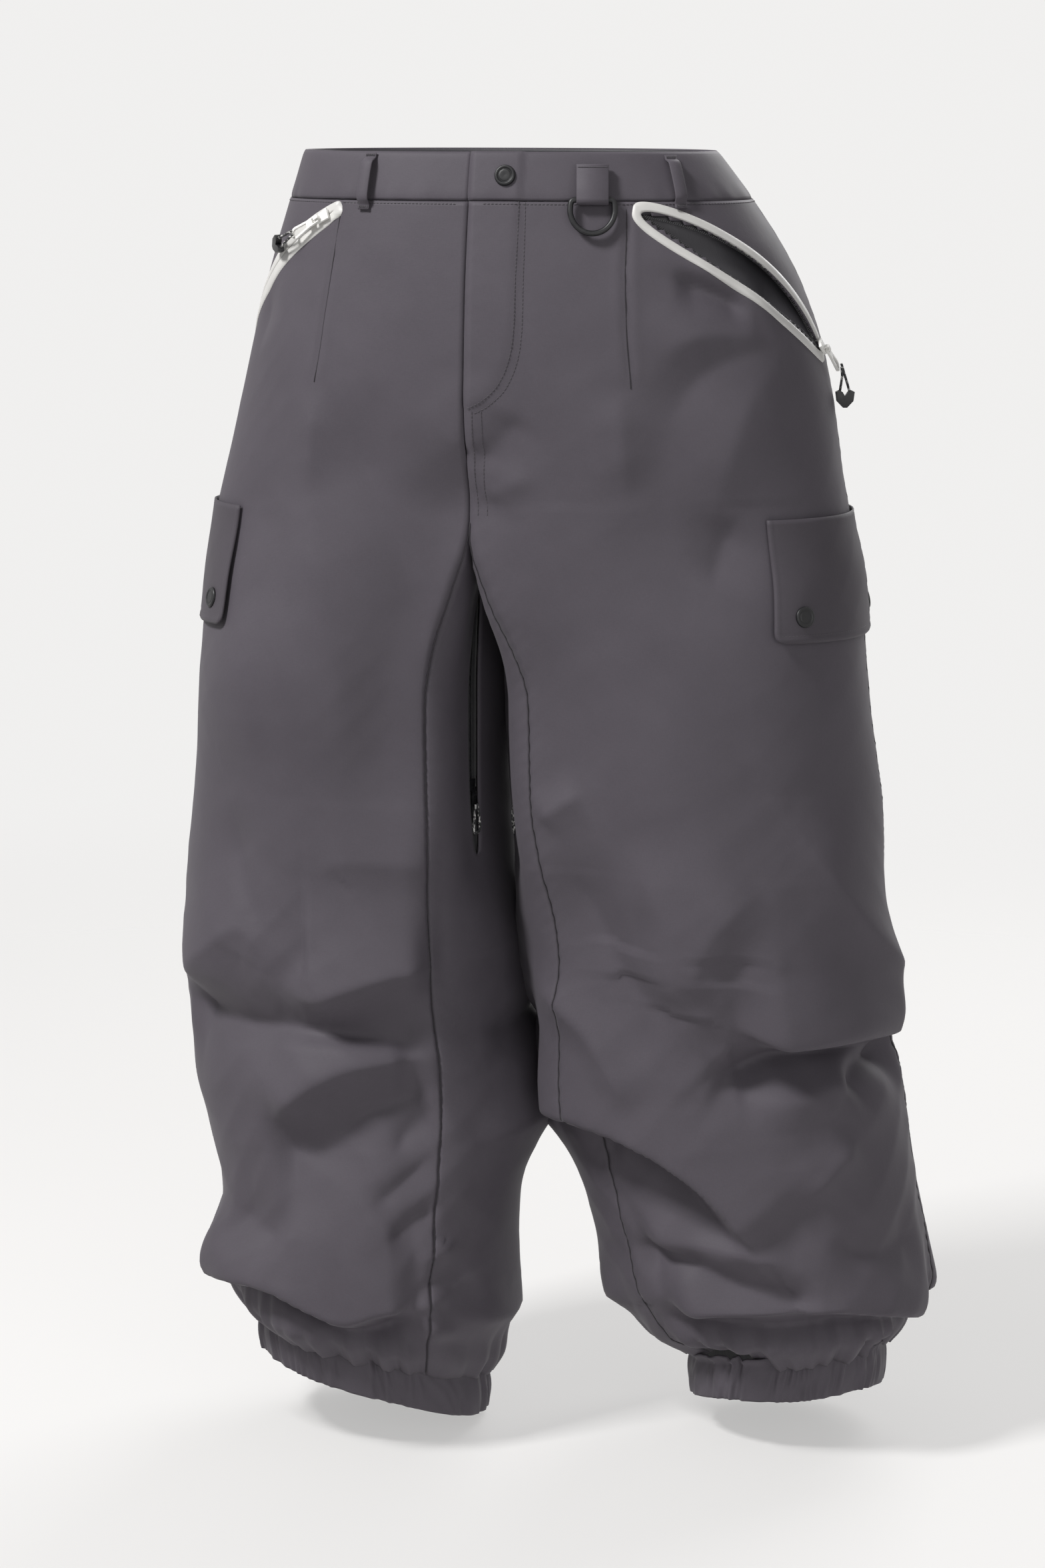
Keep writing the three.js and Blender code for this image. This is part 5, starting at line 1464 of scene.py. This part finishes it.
# ---- vents ----
for side in sides:
    low = -4.55
    rows = [(1, low), (1, low + 0.9), (0.3, low + 1), (0, low + 0.8), (0, low), (0.3, low - 0.1)]
    tape = loopTape(f"vent_tape_{side}_band", side, ventLine, vent["zipGape"], vent["tape"], rows, [darkTape])
    settle(tape, "garment", "dark_tape", f"vent_tape_{side}")
    gap = lambda a: vent["zipGape"] * np.sin(np.pi * a) + 0.4
    layCoils(f"vent_zip_{side}_coil", side, ventLine, 120, gap, low + 1.2, (0.6, 1.25, 0.2))
    b, a = gridOf(110, 16)
    drop = mix(vent["top"] - 8, vent["end"] + 8, b)
    share = vent["share"] + (2 * a - 1) * 16 / legFrame(side, vent["share"], drop)[4]
    points, faces = onCloth(side, share, drop, low - 0.9)
    net = makePiece(f"vent_mesh_{side}_net", points, faces, [meshLook], flatAt(share, drop))
    piece = thicken(net, 0.8, 0)
    settle(piece, "garment", "lining", f"vent_mesh_{side}")
    rounded(f"vent_slider_{side}", hardware, 0.25, f"vent_slider_{side}", "hardware", 2)
    rounded(f"vent_puller_{side}", hardware, 0.25, f"vent_puller_{side}", "hardware", 2)
print("vents made")

# ---- cuffs ----
cuff = {"columns": 520, "rows": 18, "bulge": 2.4, "wall": 1.8}


# A cuff: a ring below the hem whose face swells between its edges and carries the gathers on, with
# each pleat a little different.
def layRing(name, side, top, bottom, offset, bulge, pleats, finishes, thickness):
    share = (np.arange(cuff["columns"]) / cuff["columns"])[None] * np.ones((cuff["rows"], 1))
    b, _ = gridOf(cuff["rows"], cuff["columns"])
    drop = mix(top, bottom, b)
    point, normal, _, down, _ = legFrame(side, share, drop)
    turn = 2 * np.pi * share
    phase = gatherPhase(turn) + 0.7 * b + 0.9 * np.sin(11 * turn + 2 * b) + 0.6 * np.sin(17 * turn)
    ridge = np.sin(phase) * (0.6 + 0.4 * np.sin(5 * turn + 2))
    ridge = ridge + 0.45 * np.sin(2.3 * phase + 3 * b) * np.sin(4 * turn + 4 * b)
    swell = bulge * (np.sin(np.pi * np.clip(b, 0.02, 0.98)) ** 0.6 - 0.75)
    out = offset + swell + pleats * ridge * (1 - 0.3 * b)
    sag = 1.2 * np.sin(4 * turn + 1) * pleats / 2
    points = (point + normal * out[..., None] + down * sag[..., None]).reshape(-1, 3)
    faces = faceTowards(points, gridFaces(cuff["rows"], cuff["columns"], True), normal.reshape(-1, 3))
    piece = makePiece(name, points, faces, finishes, flatAt(share, drop))
    return thicken(piece, thickness, len(finishes) - 1)


for side in sides:
    top, bottom = cut["outseam"] - 3, cut["outseam"] + cut["cuffHeight"]
    around = round(arcWidth(side, 0, 1, cut["outseam"]) * metres, 3)
    looks = [shell, lining]
    piece = layRing(f"cuff_{side}_band", side, top, bottom, -0.4, cuff["bulge"], 2.0, looks, cuff["wall"])
    settle(piece, "garment", "shell", f"cuff_{side}")
    inner = (top + 8, bottom - 6, -4.6, 0.2, 0.35, [elastic], 1.2)
    piece = layRing(f"cuff_elastic_{side}_band", side, *inner)
    settle(piece, "garment", "dark_tape", f"cuff_elastic_{side}")
print("cuffs made")

# ---- sewing ----
# A plain seam's painted shade: a fine near-black cord laid along a line of (share, drop), standing for the
# shadow in the seam's recess.
def seamShadeLine(side, lines, radius=0.42, lift=0.25):
    shapes = []
    for line in lines:
        path = smoothLine(np.asarray(line, float) * (cut["girth"], 1), 160) / (cut["girth"], 1)
        laid = clothAt(side, path[:, 0], path[:, 1], lift)
        shapes.append(tube(laid, radius, 6))
    return joined(shapes)


flyRows = [flyEdge, beside(flyEdge, 5)]
waistRow = {side: [(s, 40.5) for s in np.linspace(0.11, 0.89, 14)] for side in sides}
seat = [(0.893, 60), (0.893, 150), (0.893, 280)]
for side in sides:
    lines = [waistRow[side]]
    if side == "left":
        lines += flyRows
        for gap in (3.5, 8):
            lines.append([(cut["frontSeam"] + gap / cut["girth"], d) for d in (199, 225, 250, 283)])
        lines += [seat, [(s - 5 / cut["girth"], d) for s, d in seat]]
    piece = makePiece(f"seam_stitches_{side}", *sewOn(side, lines), [thread])
    settle(piece, "garment", "shell")
    # Painted shade along the darts and the front, back and side seams: near-black cords laid in their
    # recesses.
    drops = np.linspace(cut["rise"] + 4, cut["outseam"] - 3, 90)
    sewn = darts[side] + [[(at, drop) for drop in drops] for at in (cut["frontSeam"], cut["backSeam"])]
    drops = np.linspace(cut["waistbandHeight"] + 150, cut["outseam"] - 3, 110)
    sewn.append([(cut["sideSeam"], drop) for drop in drops])
    piece = turnOut(makePiece(f"seam_shade_lines_{side}", *seamShadeLine(side, sewn), [seamShade]))
    settle(piece, "garment", "shell")
print("sewing done")

# Cords: each loop's line in metres, its tip and its thickness are looked up; nothing is made from them here.
for kind, sizes in (("hand_pocket", handCord), ("vent", ventCord)):
    for side in sides:
        name = f"{kind}_cord_{side}"
        line = cordLines[name] * metres
        ends = [bpy.data.objects[f"hand_pocket_cord_tip_{side}_part"]] if kind == "hand_pocket" else []
        sizes["diameter"] * metres

# ---- floor and light ----
stage = {
    "floor": -1.056, "reach": 9, "fade": (0.7, 2.6), "paint": (0.34, 0.334, 0.328, 1), "glow": 0.52,
    "wall": (0.875, 0.868, 0.86, 1), "sky": (0.9, 0.9, 0.92, 1), "skyPower": 0.13,
}
# The floor is a disc of rings that thins out into the pale surroundings.
rings, around = 24, 96
radius = stage["reach"] * np.linspace(0.001, 1, rings)[:, None] ** 1.6
angle = 2 * np.pi * np.arange(around)[None] / around
level = np.full((rings, around), stage["floor"])
disc = np.stack([radius * np.cos(angle), radius * np.sin(angle), level], -1).reshape(-1, 3)
floorFinish = Finish("floor_paint")
place = floorFinish.place()
tone = floorFinish.noise(place, 3, 3)
length = floorFinish.node("ShaderNodeVectorMath", {"operation": "LENGTH"}, {0: place})
far = Amount(floorFinish, length.outputs["Value"])
low, high = ([c * much for c in stage["paint"][:3]] + [1] for much in (0.98, 1.02))
middle, soft = sum(stage["fade"]) / 2 + 0.6, (stage["fade"][1] - stage["fade"][0]) / 2
floorPaint = floorFinish.close(
    floorFinish.between(tone, low, high), tone * 0.1 + 0.75, Alpha=1 - far.above(middle, soft),
    Emission_Color=stage["wall"], Emission_Strength=stage["glow"],
)
floor = makePiece("floor", disc / metres, gridFaces(rings, around, True), [floorPaint])
# A pale dome all round: it is seen and reflected, and the lamps and the sky do the lighting.
wallFinish = Finish("studio_wall")
glow = wallFinish.node("ShaderNodeEmission", None, {"Color": stage["wall"], "Strength": 1.0})
wallFinish.node("ShaderNodeOutputMaterial", None, {"Surface": glow.outputs[0]})
tilt = np.linspace(-math.pi / 2 + 0.001, math.pi / 2 - 0.001, 48)[:, None]
upward = np.sin(tilt) * np.ones((1, around))
dome = 12 * np.stack([np.cos(tilt) * np.cos(angle), np.cos(tilt) * np.sin(angle), upward], -1).reshape(-1, 3)
studio = makePiece("studio_dome", dome / metres, gridFaces(48, around, True)[:, ::-1], [wallFinish.material])
studio.visible_diffuse = studio.visible_shadow = False
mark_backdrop(floor, studio)
world = bpy.data.worlds.new("studio")
scene.world = world
world.use_nodes = True
world.node_tree.nodes["Background"].inputs[0].default_value = stage["sky"]
world.node_tree.nodes["Background"].inputs[1].default_value = stage["skyPower"]
lamps = {
    "key": {"at": (-1.9, -2.0, 2.7), "aim": (0, 0, -0.6), "size": 0.8, "power": 200},
    "front": {"at": (2.0, -3.0, 0.2), "aim": (0, 0, -0.6), "size": 2.4, "power": 34},
    "behind": {"at": (0.8, 3.2, 1.6), "aim": (0, 0, -0.5), "size": 2.4, "power": 80},
}
for name, lamp in lamps.items():
    light = bpy.data.lights.new(name, "AREA")
    light.size, light.energy = lamp["size"], lamp["power"]
    shown = bpy.data.objects.new(name, light)
    scene.collection.objects.link(shown)
    shown.location = lamp["at"]
    away = Vector(lamp["at"]) - Vector(lamp["aim"])
    shown.rotation_mode = "QUATERNION"
    shown.rotation_quaternion = away.to_track_quat("Z", "Y")
scene.view_settings.view_transform = "Standard"
print("lit")

sizes = [[list(map(float, corner)) for corner in box] for box in (cadBox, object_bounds())]
